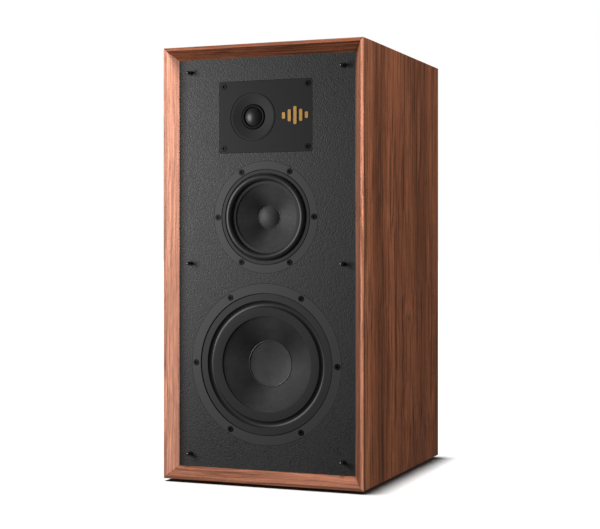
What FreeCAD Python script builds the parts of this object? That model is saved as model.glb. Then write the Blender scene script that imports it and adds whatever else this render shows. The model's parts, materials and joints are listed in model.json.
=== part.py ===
import FreeCAD, Part
import math
import os

# A three-way bookshelf loudspeaker, in millimetres. +Z is up and +X is to the right seen from the front, which
# faces -Y. The origin is on the floor under the middle of the overall box. Heights are above the cabinet's
# underside unless a name says otherwise, and a driver's depths run back from the baffle's front face.

V = FreeCAD.Vector

# --- Cabinet
cabinet_w = 300.0
cabinet_h = 610.0
cabinet_d = 360.0            # front edge of the lippings to the back panel's outer face
wall = 17.0                  # 16 mm board, veneered on both faces
lip_w = 4.5                  # flat front edge of the lippings, before the bevel
recess = 16.0                # baffle face behind the front edge
lipping_d = 27.0
baffle_t = 22.0
back_t = 17.0
foot_h = 4.0
foot_r = 10.0
foot_inset = 30.0
foot_chamfer = 1.0
fit = 0.4                    # radial gap round a flange or plate let into wood
glue = 0.5                   # gap left round soft or loose-fitting parts

# --- Window brace, parallel to the baffle
brace_front = 190.0          # behind the front edge
brace_t = 16.0
brace_rail = 30.0
brace_corner_r = 14.0

# --- Screws that hold the drivers (one size)
head_r = 4.0
head_h = 2.4
head_proud = 0.6
shank_r = 2.1
shank_l = 18.0
shank_hole_r = 2.4
pilot_gap = 0.05
pocket_gap = 0.3
hex_flats = 3.0
hex_depth = 1.5

# --- Tweeter
plate_w = 140.0
plate_h = 100.0
plate_t = 3.5
plate_corner_r = 2.5
plate_top_gap = 33.0         # from the top panel's underside
plate_screw_inset_x = 6.7
plate_screw_inset_z = 6.6
dome_x = -19.0
dome_r = 13.2
dome_rise = 6.0
dome_t = 0.4
throat_r = 18.0
throat_d = 2.2
waveguide_r = 31.0
groove_r = 33.7
groove_w = 1.0
groove_d = 0.8
tweeter_roll_w = 4.2
tweeter_roll_h = 2.1
tweeter_surround_t = 0.4
tweeter_ring_r = 34.0        # flat mounting ring of the surround, clamped behind the faceplate
tweeter_former_t = 0.3
tweeter_winding_t = 0.4
tweeter_winding_l = 3.4
tweeter_gap = 0.3
tweeter_plate_r = 36.0
tweeter_plate_t = 4.0
tweeter_magnet_r = 33.0
tweeter_magnet_bore_r = 20.0
tweeter_magnet_t = 10.0
tweeter_yoke_t = 4.0
tweeter_cup_t = 1.6
tweeter_cup_l = 37.0
tweeter_hole_gap = 1.5

# --- Emblem: five bars of a sound-level icon
emblem_x = 44.8
emblem_bar_w = 4.7
emblem_pitch = 8.5
emblem_heights = (9.0, 16.5, 24.8, 16.5, 9.0)
emblem_t = 0.8

# --- Cone drivers. Radii step inwards from the flange's edge by named widths.
woofer = dict(
    flange_r=112.5, flange_w=13.0, flange_t=5.0, screw_inset=6.0,
    ring_gap=1.0, ring_w=9.5, ring_t=0.8, ring_setback=1.2, ring_reveal=0.5,
    roll_w=9.1, roll_h=2.6, roll_sign=1, surround_t=1.0, landing_w=12.4,
    cone_t=0.8, neck_d=24.0, cap_r=32.0, cap_rise=-3.5, cap_t=0.8,
    coil_r=19.5, former_t=0.4, former_lead=2.0, winding_t=0.8, winding_l=16.0, gap=0.6,
    spider_d=33.0, spider_roll_r=2.4, spider_t=0.6, spider_neck=2.5, spider_drop=2.0, spider_w=5.5,
    basket_t=2.5, plate_d=52.0, plate_r=50.0, plate_t=6.0,
    magnet_r=55.0, magnet_bore_r=28.0, magnet_t=18.0, yoke_t=6.0, vent_r=5.0,
    window_w=36.0, tag_w=14.0, tag_l=10.0, tag_t=9.0)
midrange = dict(
    flange_r=78.0, flange_w=11.0, flange_t=4.0, screw_inset=5.5,
    ring_gap=1.0, ring_w=4.5, ring_t=1.5, ring_setback=0.2, ring_reveal=1.0,
    roll_w=10.0, roll_h=5.0, roll_sign=-1, surround_t=0.8, landing_w=4.5,
    cone_t=0.6, neck_d=18.0, cap_r=16.0, cap_rise=5.0, cap_t=0.6,
    coil_r=12.7, former_t=0.3, former_lead=2.5, winding_t=0.6, winding_l=9.0, gap=0.5,
    spider_d=26.0, spider_roll_r=1.4, spider_t=0.5, spider_neck=1.5, spider_drop=1.5, spider_w=4.5,
    basket_t=2.0, plate_d=38.0, plate_r=34.0, plate_t=5.0,
    magnet_r=38.0, magnet_bore_r=19.0, magnet_t=14.0, yoke_t=4.0, vent_r=3.0,
    window_w=20.0, tag_w=10.0, tag_l=8.0, tag_t=6.0)
woofer_bottom_gap = 35.2     # from the bottom panel's upper face
midrange_gap = 14.6          # between the woofer's flange and the midrange's
spider_rolls = 5
driver_screw_count = 6

# --- Sealed chamber behind the midrange
chamber_r = 76.0
chamber_t = 4.0
chamber_flange_w = 8.0
chamber_l = 80.0

# --- Grille pegs
peg_inset_x = 17.5           # from the edge of the baffle
peg_inset_z = 18.0
peg_r = 2.5
peg_l = 10.5
peg_neck_r = 1.9
peg_collar_r = 3.6
peg_collar_t = 1.2
peg_neck_end = 4.0
peg_root_l = 10.0
peg_root_r = 2.0             # glued into the baffle

# --- Rear ports
port_r = 25.0
port_t = 2.5
port_l = 140.0
port_x = 58.0
port_top_gap = 113.0         # from the top panel's underside to the port's middle
port_flare_r = 8.0
port_flange_w = 11.0
port_flange_t = 3.0

# --- Terminal cup, binding posts, knobs and collars
cup_w = 92.0
cup_h = 58.0
cup_d = 24.0                 # recess below the back panel's outer face
cup_t = 2.5
cup_flange_t = 2.5
cup_flange_w = 13.0
cup_corner_r = 6.0
cup_height = 120.0
cup_screw_r = 1.75
cup_screw_l = 14.0
cup_head_r = 3.3
cup_head_h = 1.8
post_spacing = 40.0
post_r = 3.5
post_bore_r = 2.0
post_bore_l = 14.0
post_out_l = 19.0
post_in_l = 13.0
post_base_r = 7.0
post_base_t = 2.0
nut_flats = 10.0
nut_t = 4.0
collar_r = 8.0
collar_t = 3.0
thread_gap = 0.05
knob_r = 8.5
knob_l = 16.0
knob_flutes = 12
flute_r = 1.3

# --- Crossover and wiring
board_w = 170.0
board_h = 130.0
board_t = 1.6
board_standoff = 8.0
standoff_r = 4.0
# Parts on the board. Each row starts with X and the height above the board's middle.
coils = [(-58, -8, 20, 9, 22), (-10, 2, 19, 8, 20), (40, -4, 18, 7, 20)]    # outer radius, inner radius, length
film_cans = [(-80, 34, 7, 30), (-80, 52, 7, 30), (44, 34, 8, 34), (44, 53, 7, 34)]    # radius, length
cement_blocks = [(-46, 36), (-46, 52), (46, -36), (-14, -32)]
block_l = 26.0
block_t = 9.0
block_h = 10.0
board_rise = 160.0           # board's middle above the terminal cup's
wire_r = 2.0
wire_bend = 12.0
lining_t = 22.0
lining_end_gap = 23.0

# --- Places that follow from the sizes
front_y = -(cabinet_d + cup_flange_t) / 2
baffle_y = front_y + recess
back_y = front_y + cabinet_d
inside_w = cabinet_w - 2 * wall
inside_top = cabinet_h - wall
woofer_z = wall + woofer_bottom_gap + woofer["flange_r"]
midrange_z = woofer_z + woofer["flange_r"] + midrange_gap + midrange["flange_r"]
tweeter_z = inside_top - plate_top_gap - plate_h / 2
port_z = inside_top - port_top_gap
board_z = cup_height + board_rise
cup_floor_y = back_y - cup_d
board_y = back_y - back_t - board_standoff
surround_front = plate_t
dome_plate_d = plate_t + tweeter_surround_t


# --- Helpers
def box(x0, x1, y0, y1, z0, z1):
    return Part.makeBox(x1 - x0, y1 - y0, z1 - z0, V(x0, y0, z0 + foot_h))


def rounded_box(x0, x1, y0, y1, z0, z1, corner_r):
    """A box whose four edges along Y are rounded."""
    shape = box(x0, x1, y0, y1, z0, z1)
    along_y = [e for e in shape.Edges if abs(e.tangentAt(e.FirstParameter).y) > 0.99]
    return shape.makeFillet(corner_r, along_y)


def rod(radius, x, y0, y1, z):
    return Part.makeCylinder(radius, y1 - y0, V(x, y0, z + foot_h), V(0, 1, 0))


def turned(path, x, y, z):
    """Turns a closed outline of (radius, depth) points about an axis along Y. An entry that holds two points is
    an arc through the first one to the second."""
    edges = []
    here = path[0]
    for step in list(path[1:]) + [path[0]]:
        arc = isinstance(step[0], tuple)
        end = step[1] if arc else step
        if arc:
            edges.append(Part.Arc(V(*here, 0), V(*step[0], 0), V(*end, 0)).toShape())
        elif math.dist(here, end) > 1e-6:
            edges.append(Part.LineSegment(V(*here, 0), V(*end, 0)).toShape())
        here = end
    face = Part.Face(Part.Wire(edges))
    solid = face.revolve(V(0, 0, 0), V(0, 1, 0), 360)
    return solid.translated(V(x, y, z + foot_h))


def tube(inner_r, outer_r, d0, d1, x, y, z):
    return turned([(inner_r, d0), (outer_r, d0), (outer_r, d1), (inner_r, d1)], x, y, z)


def hexagon(flats, x, y0, y1, z):
    """A hexagonal prism along Y, given its width across the flats."""
    corner = flats / math.sqrt(3)
    points = []
    for i in range(7):
        turn = math.radians(60 * i)
        points.append(V(x + corner * math.cos(turn), y0, z + foot_h + corner * math.sin(turn)))
    return Part.Face(Part.makePolygon(points)).extrude(V(0, y1 - y0, 0))


def cap_shell(radius, base_d, rise, thick, skirt):
    """Outline of a domed shell that bulges forwards from its base, with a straight skirt behind the base."""
    sphere_r = (radius ** 2 + rise ** 2) / (2 * rise)
    middle_d = base_d - rise + sphere_r
    inner_sphere_r = sphere_r - thick
    inner_r = math.sqrt(inner_sphere_r ** 2 - (middle_d - base_d) ** 2)
    half = math.asin(radius / sphere_r) / 2
    inner_half = math.asin(inner_r / inner_sphere_r) / 2
    crown = (sphere_r * math.sin(half), middle_d - sphere_r * math.cos(half))
    inner_crown = (inner_sphere_r * math.sin(inner_half), middle_d - inner_sphere_r * math.cos(inner_half))
    return [
        (radius, base_d + skirt), (radius, base_d), (crown, (0, base_d - rise)), (0, base_d - rise + thick),
        (inner_crown, (inner_r, base_d)), (inner_r, base_d + skirt)]


def sunk_cap_shell(radius, base_d, fall, thick, slope):
    """Outline of a shallow bowl whose edge lies on a cone that deepens by the slope for each mm towards the axis."""
    front_r = (radius ** 2 + fall ** 2) / (2 * fall)
    back_r = front_r + thick
    middle_d = base_d + fall - front_r
    reach = base_d + slope * radius - middle_d
    root = math.sqrt((reach * slope) ** 2 - (1 + slope ** 2) * (reach ** 2 - back_r ** 2))
    glued_r = (reach * slope - root) / (1 + slope ** 2)
    half = math.asin(radius / front_r) / 2
    back_half = math.asin(glued_r / back_r) / 2
    bowl = (front_r * math.sin(half), middle_d + front_r * math.cos(half))
    back_bowl = (back_r * math.sin(back_half), middle_d + back_r * math.cos(back_half))
    return [
        (radius, base_d), (bowl, (0, base_d + fall)), (0, base_d + fall + thick),
        (back_bowl, (glued_r, base_d + slope * (radius - glued_r)))]


def surround(outer_r, roll_outer, roll_w, roll_h, landing_inner, front_d, thick, sign, x, z):
    """A rolled edge of one arc: sign 1 sinks the roll into the cabinet and -1 raises it towards the listener."""
    middle = roll_outer - roll_w / 2
    back_d = front_d + thick
    front = [(outer_r, front_d), (roll_outer, front_d)]
    front.append(((middle, front_d + sign * roll_h), (roll_outer - roll_w, front_d)))
    front += [(landing_inner, front_d), (landing_inner, back_d)]
    reach = roll_back_reach(roll_w, roll_h, thick, sign)
    behind_d = front_d + sign * roll_h + thick
    if sign > 0:
        back = [(middle - reach, back_d), ((middle, behind_d), (middle + reach, back_d))]
    else:
        back = [(middle - reach, back_d), (middle - reach, front_d)]
        back += [((middle, behind_d), (middle + reach, front_d)), (middle + reach, back_d)]
    return turned(front + back + [(outer_r, back_d)], x, baffle_y, z)


def roll_back_reach(roll_w, roll_h, thick, sign):
    """Half the width of the roll at its back face, which follows the front face's arc at one thickness."""
    curve_r = (roll_w ** 2 / 4 + roll_h ** 2) / (2 * roll_h)
    if sign > 0:
        return math.sqrt((curve_r + thick) ** 2 - (curve_r - roll_h + thick) ** 2)
    return math.sqrt((curve_r - thick) ** 2 - (curve_r - roll_h) ** 2)


# --- Cabinet
def mitred(side, y0, y1):
    """One side of the cabinet's shell, mitred at both ends."""
    half = cabinet_w / 2
    corners = {
        "left": [(-half, 0), (-half + wall, wall), (-half + wall, inside_top), (-half, cabinet_h)],
        "right": [(half, 0), (half, cabinet_h), (half - wall, inside_top), (half - wall, wall)],
        "top": [(-half, cabinet_h), (-half + wall, inside_top), (half - wall, inside_top), (half, cabinet_h)],
        "bottom": [(-half, 0), (half, 0), (half - wall, wall), (-half + wall, wall)]}[side]
    points = [V(x, y0, z + foot_h) for x, z in corners + corners[:1]]
    return Part.Face(Part.makePolygon(points)).extrude(V(0, y1 - y0, 0))


def bevel_cutter():
    """The tapering space inside the front frame, from the front edge to the baffle."""
    wires = []
    for inset, depth in ((lip_w, 0), (wall, recess)):
        x = cabinet_w / 2 - inset
        z0 = inset + foot_h
        z1 = cabinet_h - inset + foot_h
        y = front_y + depth
        wires.append(Part.makePolygon([V(-x, y, z0), V(x, y, z0), V(x, y, z1), V(-x, y, z1), V(-x, y, z0)]))
    return Part.makeLoft(wires, True, True)


def front_baffle():
    half = inside_w / 2
    baffle = box(-half, half, baffle_y, baffle_y + baffle_t, wall, inside_top)
    cutters = []
    for driver, z in ((woofer, woofer_z), (midrange, midrange_z)):
        cutters.append(rod(driver["flange_r"] + fit, 0, baffle_y, baffle_y + driver["flange_t"], z))
        cutters.append(rod(basket_hole_r(driver), 0, baffle_y, baffle_y + baffle_t, z))
    cutters.append(rounded_box(
        -plate_w / 2 - fit, plate_w / 2 + fit, baffle_y, baffle_y + plate_t,
        tweeter_z - plate_h / 2 - fit, tweeter_z + plate_h / 2 + fit, plate_corner_r))
    cutters.append(rod(tweeter_plate_r + tweeter_hole_gap, dome_x, baffle_y, baffle_y + baffle_t, tweeter_z))
    pilot_end = baffle_y + head_h - head_proud + shank_l + glue
    for x, z in screw_places():
        cutters.append(rod(shank_r + pilot_gap, x, baffle_y, pilot_end, z))
    for x, z in peg_places():
        cutters.append(rod(peg_root_r, x, baffle_y, baffle_y + peg_root_l, z))
    return baffle.cut(cutters)


def back_panel():
    half = inside_w / 2
    panel = box(-half, half, back_y - back_t, back_y, wall, inside_top)
    cutters = []
    for x in (-port_x, port_x):
        cutters.append(rod(port_r + port_flare_r, x, back_y - back_t, back_y, port_z))
        cutters.append(rod(port_r + port_flange_w + fit, x, back_y - port_flange_t, back_y, port_z))
    half_w = cup_w / 2 + cup_t + fit
    half_h = cup_h / 2 + cup_t + fit
    cutters.append(rounded_box(
        -half_w, half_w, back_y - back_t, back_y, cup_height - half_h, cup_height + half_h, cup_corner_r))
    for x, z in cup_screw_places():
        cutters.append(rod(cup_screw_r + pilot_gap, x, back_y - cup_screw_l, back_y, z))
    return panel.cut(cutters)


def window_brace():
    half = inside_w / 2
    y0 = front_y + brace_front
    y1 = y0 + brace_t
    brace = box(-half, half, y0, y1, wall, inside_top)
    lower_bar = midrange_z - midrange["flange_r"]
    upper_bar = midrange_z + midrange["flange_r"]
    half_rail = brace_rail / 2
    spans = (
        (wall + brace_rail, lower_bar - half_rail),
        (lower_bar + half_rail, upper_bar - half_rail),
        (upper_bar + half_rail, inside_top - brace_rail))
    x = half - brace_rail
    return brace.cut([rounded_box(-x, x, y0, y1, z0, z1, brace_corner_r) for z0, z1 in spans])


def side_lining():
    """Wadding that lines both side walls behind the brace."""
    outer = inside_w / 2 - glue
    y0 = front_y + brace_front + brace_t + 2 * glue
    y1 = back_y - back_t - 2 * glue
    z0 = wall + lining_end_gap
    z1 = inside_top - lining_end_gap
    return [box(-outer, -outer + lining_t, y0, y1, z0, z1), box(outer - lining_t, outer, y0, y1, z0, z1)]


def rubber_feet():
    feet = []
    for x in (-cabinet_w / 2 + foot_inset, cabinet_w / 2 - foot_inset):
        for y in (front_y + foot_inset, back_y - foot_inset):
            foot = Part.makeCylinder(foot_r, foot_h, V(x, y, 0))
            feet.append(foot.makeChamfer(foot_chamfer, [e for e in foot.Edges if e.BoundBox.ZMax < foot_h / 2]))
    return feet


def peg_places():
    x = inside_w / 2 - peg_inset_x
    low = wall + peg_inset_z
    high = inside_top - peg_inset_z
    return [(sx, z) for z in (low, (low + high) / 2, high) for sx in (-x, x)]


def grille_peg(x, z):
    ball_d = -(peg_l - peg_r)
    tip = (peg_r * math.sin(math.radians(45)), ball_d - peg_r * math.cos(math.radians(45)))
    neck_step = peg_r - peg_neck_r
    return turned([
        (0, peg_root_l), (peg_root_r, peg_root_l), (peg_root_r, 0), (peg_collar_r, 0), (peg_collar_r, -peg_collar_t),
        (peg_neck_r, -peg_collar_t), (peg_neck_r, -peg_neck_end + neck_step), (peg_r, -peg_neck_end),
        (peg_r, ball_d), (tip, (0, -peg_l))], x, baffle_y, z)


# --- Screws
def plate_screw_places():
    x = plate_w / 2 - plate_screw_inset_x
    z = plate_h / 2 - plate_screw_inset_z
    return [(sx * x, tweeter_z + sz * z) for sx in (-1, 1) for sz in (-1, 1)]


def flange_screw_places(driver, z):
    circle_r = driver["flange_r"] - driver["screw_inset"]
    turns = [2 * math.pi * i / driver_screw_count for i in range(driver_screw_count)]
    return [(circle_r * math.cos(turn), z + circle_r * math.sin(turn)) for turn in turns]


def screw_places():
    return plate_screw_places() + flange_screw_places(woofer, woofer_z) + flange_screw_places(midrange, midrange_z)


def driver_screw(x, z):
    head_y = baffle_y - head_proud
    seat_y = head_y + head_h
    screw = rod(head_r, x, head_y, seat_y, z).fuse(rod(shank_r, x, seat_y, seat_y + shank_l, z))
    return screw.cut(hexagon(hex_flats, x, head_y, head_y + hex_depth, z))


def screw_holes(places):
    """Counterbored clearance holes through a flange or plate."""
    seat_y = baffle_y - head_proud + head_h
    holes = []
    for x, z in places:
        holes.append(rod(head_r + pocket_gap, x, baffle_y, seat_y, z))
        holes.append(rod(shank_hole_r, x, baffle_y, baffle_y + baffle_t, z))
    return holes


# --- Cone drivers
def radii(driver):
    """The radii that follow from the flange's edge."""
    r = {"seat": driver["flange_r"] - driver["flange_w"]}
    r["ring"] = r["seat"] - driver["ring_gap"]
    r["ring_inner"] = r["ring"] - driver["ring_w"]
    r["roll"] = r["ring_inner"] - driver["ring_reveal"]
    r["landing"] = r["roll"] - driver["roll_w"] - driver["landing_w"]
    reach = roll_back_reach(driver["roll_w"], driver["roll_h"], driver["surround_t"], driver["roll_sign"])
    middle = r["roll"] - driver["roll_w"] / 2
    r["bore"] = middle + reach + glue
    r["rim"] = middle - reach - fit
    r["neck"] = driver["coil_r"] + driver["former_t"]
    r["spider"] = r["neck"] + 2 * spider_rolls * driver["spider_roll_r"] + driver["spider_t"] + driver["spider_w"]
    r["shelf_inner"] = r["spider"] - driver["spider_w"] + fit
    return r


def depths(driver):
    """The depths of one driver's stacked parts."""
    d = {"landing": driver["ring_setback"] + driver["ring_t"]}
    d["seat"] = d["landing"] + driver["surround_t"]
    d["shelf"] = driver["spider_d"] + driver["spider_drop"] + driver["spider_t"]
    d["magnet"] = driver["plate_d"] + driver["plate_t"]
    d["yoke"] = d["magnet"] + driver["magnet_t"]
    d["gap_middle"] = driver["plate_d"] + driver["plate_t"] / 2
    return d


def basket_hole_r(driver):
    return radii(driver)["bore"] + driver["basket_t"] + 3 * glue


def cone_depth(driver, radius):
    """Depth of the cone's front face at a radius."""
    r = radii(driver)
    seat = depths(driver)["seat"]
    return seat + (r["landing"] - radius) * (driver["neck_d"] - seat) / (r["landing"] - r["neck"])


def basket(driver, z):
    r = radii(driver)
    d = depths(driver)
    t = driver["basket_t"]
    plate_d = driver["plate_d"]
    flange_r = driver["flange_r"]
    flange_t = driver["flange_t"]
    bore = r["bore"]
    inner = r["shelf_inner"]
    outer = r["spider"] + glue
    hole = driver["coil_r"] + driver["spider_w"]
    shelf = d["shelf"]
    shell = turned([
        (flange_r, 0), (r["seat"], 0), (r["seat"], d["seat"]), (bore, d["seat"]), (bore, flange_t),
        (outer, shelf), (inner, shelf), (inner, plate_d - t), (hole, plate_d - t), (hole, plate_d),
        (inner + t, plate_d), (inner + t, shelf + t), (outer + t, shelf + t), (bore + t, flange_t),
        (flange_r, flange_t)], 0, baffle_y, z)
    cutters = screw_holes(flange_screw_places(driver, z))
    half = driver["window_w"] / 2
    for i in range(driver_screw_count):
        window = Part.makeBox(
            2 * half, shelf - flange_t - 3 * t, flange_r, V(-half, baffle_y + flange_t + t, z + foot_h))
        window.rotate(V(0, 0, z + foot_h), V(0, 1, 0), 360 * (i + 0.5) / driver_screw_count)
        window = window.cut(rod(outer - 2 * t, 0, baffle_y, baffle_y + shelf, z))
        cutters.append(window)
    shell = shell.cut(cutters)
    tag_y = baffle_y + (shelf + t + plate_d) / 2
    side = -driver["roll_sign"]
    tag = Part.makeBox(driver["tag_l"] + t, driver["tag_t"], driver["tag_w"])
    tag.translate(V(inner, tag_y - driver["tag_t"] / 2, z + foot_h - driver["tag_w"] / 2))
    if side > 0:
        tag = tag.mirror(V(0, 0, 0), V(1, 0, 0))
    return shell.fuse(tag).removeSplitter()


def spider(driver, z):
    """Corrugated centring disc: half-circle rolls, a neck on the voice coil and a flat landing."""
    roll_r = driver["spider_roll_r"]
    half = driver["spider_t"] / 2
    level = driver["spider_d"]
    start = radii(driver)["neck"] + half
    front = []
    back = []
    for i in range(spider_rolls):
        sign = -1 if i % 2 == 0 else 1
        middle = start + (2 * i + 1) * roll_r
        end = middle + roll_r
        front.append(((middle, level + sign * (roll_r - sign * half)), (end - sign * half, level)))
        back.append(((middle, level + sign * (roll_r + sign * half)), (end + sign * half, level)))
    edge = start + 2 * spider_rolls * roll_r
    landing = level + driver["spider_drop"]
    outer = radii(driver)["spider"]
    path = [(start - half, level + driver["spider_neck"]), (start - half, level)] + front
    path += [(edge + half, landing), (outer, landing), (outer, landing + 2 * half)]
    path += [(edge - half, landing + 2 * half), (edge - half, level)]
    ends = [(start + half, level)] + [step[1] for step in back]
    for step, end in reversed(list(zip(back, ends))):
        path.append((step[0], end))
    path.append((start + half, level + driver["spider_neck"]))
    return turned(path, 0, baffle_y, z)


def dust_cap(driver, z):
    """A shallow cap glued to the cone: either domed, with a skirt trimmed to the cone, or sunk."""
    r = radii(driver)
    cap_r = driver["cap_r"]
    rise = driver["cap_rise"]
    edge_d = cone_depth(driver, cap_r)
    if rise < 0:
        slope = cone_depth(driver, cap_r - 1) - edge_d
        return turned(sunk_cap_shell(cap_r, edge_d, -rise, driver["cap_t"], slope), 0, baffle_y, z)
    cap = turned(cap_shell(cap_r, edge_d, rise, driver["cap_t"], rise), 0, baffle_y, z)
    far = driver["plate_d"]
    behind = [(r["neck"], driver["neck_d"]), (r["landing"], depths(driver)["seat"]), (r["landing"], far)]
    return cap.cut(turned(behind + [(r["neck"], far)], 0, baffle_y, z))


def cone_driver(name, driver, z):
    """All nodes of one cone driver."""
    r = radii(driver)
    d = depths(driver)
    plate_d = driver["plate_d"]
    cone_t = driver["cone_t"]
    neck_d = driver["neck_d"]
    setback = driver["ring_setback"]
    wind_r = r["neck"] + driver["winding_t"]
    wind_0 = d["gap_middle"] - driver["winding_l"] / 2
    wind_1 = d["gap_middle"] + driver["winding_l"] / 2
    lead_d = neck_d - driver["former_lead"]
    coil_r = driver["coil_r"]
    pole_r = coil_r - driver["gap"]
    yoke_end = d["yoke"] + driver["yoke_t"]
    plate_r = driver["plate_r"]
    vent_r = driver["vent_r"]
    return {
        name + "_basket": basket(driver, z),
        name + "_trim_ring": tube(r["ring_inner"], r["ring"], setback, d["landing"], 0, baffle_y, z),
        name + "_surround": surround(
            r["ring"], r["roll"], driver["roll_w"], driver["roll_h"], r["landing"], d["landing"],
            driver["surround_t"], driver["roll_sign"], 0, z),
        name + "_cone": turned([
            (r["rim"], d["seat"]), (r["landing"], d["seat"]), (r["neck"], neck_d), (r["neck"], neck_d + cone_t),
            (r["landing"], d["seat"] + cone_t), (r["rim"], d["seat"] + cone_t)], 0, baffle_y, z),
        name + "_dust_cap": dust_cap(driver, z),
        name + "_voice_coil": turned([
            (coil_r, lead_d), (r["neck"], lead_d), (r["neck"], wind_0), (wind_r, wind_0), (wind_r, wind_1),
            (coil_r, wind_1)], 0, baffle_y, z),
        name + "_spider": spider(driver, z),
        name + "_top_plate": tube(
            wind_r + driver["gap"], plate_r, plate_d, d["magnet"], 0, baffle_y, z),
        name + "_magnet": tube(
            driver["magnet_bore_r"], driver["magnet_r"], d["magnet"], d["yoke"], 0, baffle_y, z),
        name + "_yoke": turned([
            (vent_r, plate_d), (pole_r, plate_d), (pole_r, d["yoke"]), (plate_r, d["yoke"]),
            (plate_r, yoke_end), (vent_r, yoke_end)], 0, baffle_y, z)}


def midrange_chamber():
    end_d = baffle_t + chamber_l
    flange = chamber_r + chamber_t + chamber_flange_w
    chamber = turned([
        (chamber_r, baffle_t), (flange, baffle_t), (flange, baffle_t + chamber_t),
        (chamber_r + chamber_t, baffle_t + chamber_t), (chamber_r + chamber_t, end_d), (0, end_d),
        (0, end_d - chamber_t), (chamber_r, end_d - chamber_t)], 0, baffle_y, midrange_z)
    return chamber.cut(rod(wire_r + fit, midrange_wire_x(), baffle_y, baffle_y + 2 * end_d, midrange_z))


# --- Tweeter
def tweeter_faceplate():
    plate = rounded_box(
        -plate_w / 2, plate_w / 2, baffle_y, baffle_y + plate_t, tweeter_z - plate_h / 2,
        tweeter_z + plate_h / 2, plate_corner_r)
    throat = [(0, 0), (waveguide_r, 0), (throat_r, throat_d), (throat_r, plate_t), (0, plate_t)]
    groove = tube(
        groove_r - groove_w / 2, groove_r + groove_w / 2, 0, groove_d, dome_x, baffle_y, tweeter_z)
    holes = screw_holes(plate_screw_places())
    return plate.cut([turned(throat, dome_x, baffle_y, tweeter_z), groove] + holes)


def tweeter():
    """All nodes of the tweeter, which is centred off the middle of its plate."""
    here = (dome_x, baffle_y, tweeter_z)
    plate_end = dome_plate_d + tweeter_plate_t
    magnet_end = plate_end + tweeter_magnet_t
    wind_r = dome_r + tweeter_winding_t
    wind_0 = dome_plate_d + (tweeter_plate_t - tweeter_winding_l) / 2
    wind_1 = wind_0 + tweeter_winding_l
    former_r = dome_r - tweeter_former_t
    pole_r = former_r - tweeter_gap
    cup_r = tweeter_plate_r - tweeter_cup_t
    cup_end = plate_end + tweeter_cup_l
    return {
        "tweeter_faceplate": tweeter_faceplate(),
        "tweeter_dome": turned(cap_shell(dome_r, surround_front, dome_rise, dome_t, 0), *here),
        "tweeter_surround": surround(
            tweeter_ring_r, dome_r + tweeter_roll_w, tweeter_roll_w, tweeter_roll_h, dome_r, surround_front,
            tweeter_surround_t, -1, dome_x, tweeter_z),
        "tweeter_voice_coil": turned([
            (former_r, surround_front), (dome_r, surround_front), (dome_r, wind_0), (wind_r, wind_0),
            (wind_r, wind_1), (former_r, wind_1)], *here),
        "tweeter_top_plate": tube(wind_r + tweeter_gap, tweeter_plate_r, dome_plate_d, plate_end, *here),
        "tweeter_magnet": tube(tweeter_magnet_bore_r, tweeter_magnet_r, plate_end, magnet_end, *here),
        "tweeter_yoke": turned([
            (0, dome_plate_d + tweeter_gap), (pole_r, dome_plate_d + tweeter_gap), (pole_r, magnet_end),
            (tweeter_magnet_r, magnet_end), (tweeter_magnet_r, magnet_end + tweeter_yoke_t),
            (0, magnet_end + tweeter_yoke_t)], *here),
        "tweeter_rear_cup": turned([
            (cup_r, plate_end), (tweeter_plate_r, plate_end), (tweeter_plate_r, cup_end), (0, cup_end),
            (0, cup_end - tweeter_cup_t), (cup_r, cup_end - tweeter_cup_t)], *here)}


def emblem_bars():
    bars = []
    for i, height in enumerate(emblem_heights):
        x = emblem_x + (i - 2) * emblem_pitch
        bars.append(rounded_box(
            x - emblem_bar_w / 2, x + emblem_bar_w / 2, baffle_y - emblem_t, baffle_y,
            tweeter_z - height / 2, tweeter_z + height / 2, emblem_bar_w / 3))
    return bars


# --- Back
def port_tube(x):
    outer = port_r + port_t
    flange = port_r + port_flange_w
    lip = port_r + port_flare_r
    turn = math.radians(45)
    flare = (lip - port_flare_r * math.cos(turn), -port_flare_r + port_flare_r * math.sin(turn))
    return turned([
        (flange, 0), (lip, 0), (flare, (port_r, -port_flare_r)), (port_r, -port_l), (outer, -port_l),
        (outer, -port_flare_r - port_t), (outer + port_flare_r / 2, -port_flange_t), (flange, -port_flange_t)],
        x, back_y, port_z)


def cup_screw_places():
    x = cup_w / 2 + cup_t + cup_flange_w / 2
    z = cup_h / 2 + cup_t + cup_flange_w / 2
    return [(sx * x, cup_height + sz * z) for sx in (-1, 1) for sz in (-1, 1)]


def terminal_cup():
    half_w = cup_w / 2
    half_h = cup_h / 2
    rim = cup_t + cup_flange_w
    z = cup_height
    flange = rounded_box(
        -half_w - rim, half_w + rim, back_y, back_y + cup_flange_t, z - half_h - rim, z + half_h + rim,
        cup_corner_r)
    body = rounded_box(
        -half_w - cup_t, half_w + cup_t, cup_floor_y - cup_t, back_y, z - half_h - cup_t, z + half_h + cup_t,
        cup_corner_r)
    hollow = rounded_box(
        -half_w, half_w, cup_floor_y, back_y + cup_flange_t, z - half_h, z + half_h, cup_corner_r - cup_t)
    cutters = [hollow]
    for x in post_places():
        cutters.append(rod(post_r + thread_gap, x, cup_floor_y - cup_t, cup_floor_y, z))
    for x, screw_z in cup_screw_places():
        cutters.append(rod(cup_screw_r + pilot_gap, x, back_y, back_y + cup_flange_t, screw_z))
        cutters.append(rod(
            cup_head_r + pocket_gap, x, back_y + cup_flange_t - cup_head_h, back_y + cup_flange_t, screw_z))
    return flange.fuse(body).cut(cutters).removeSplitter()


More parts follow.
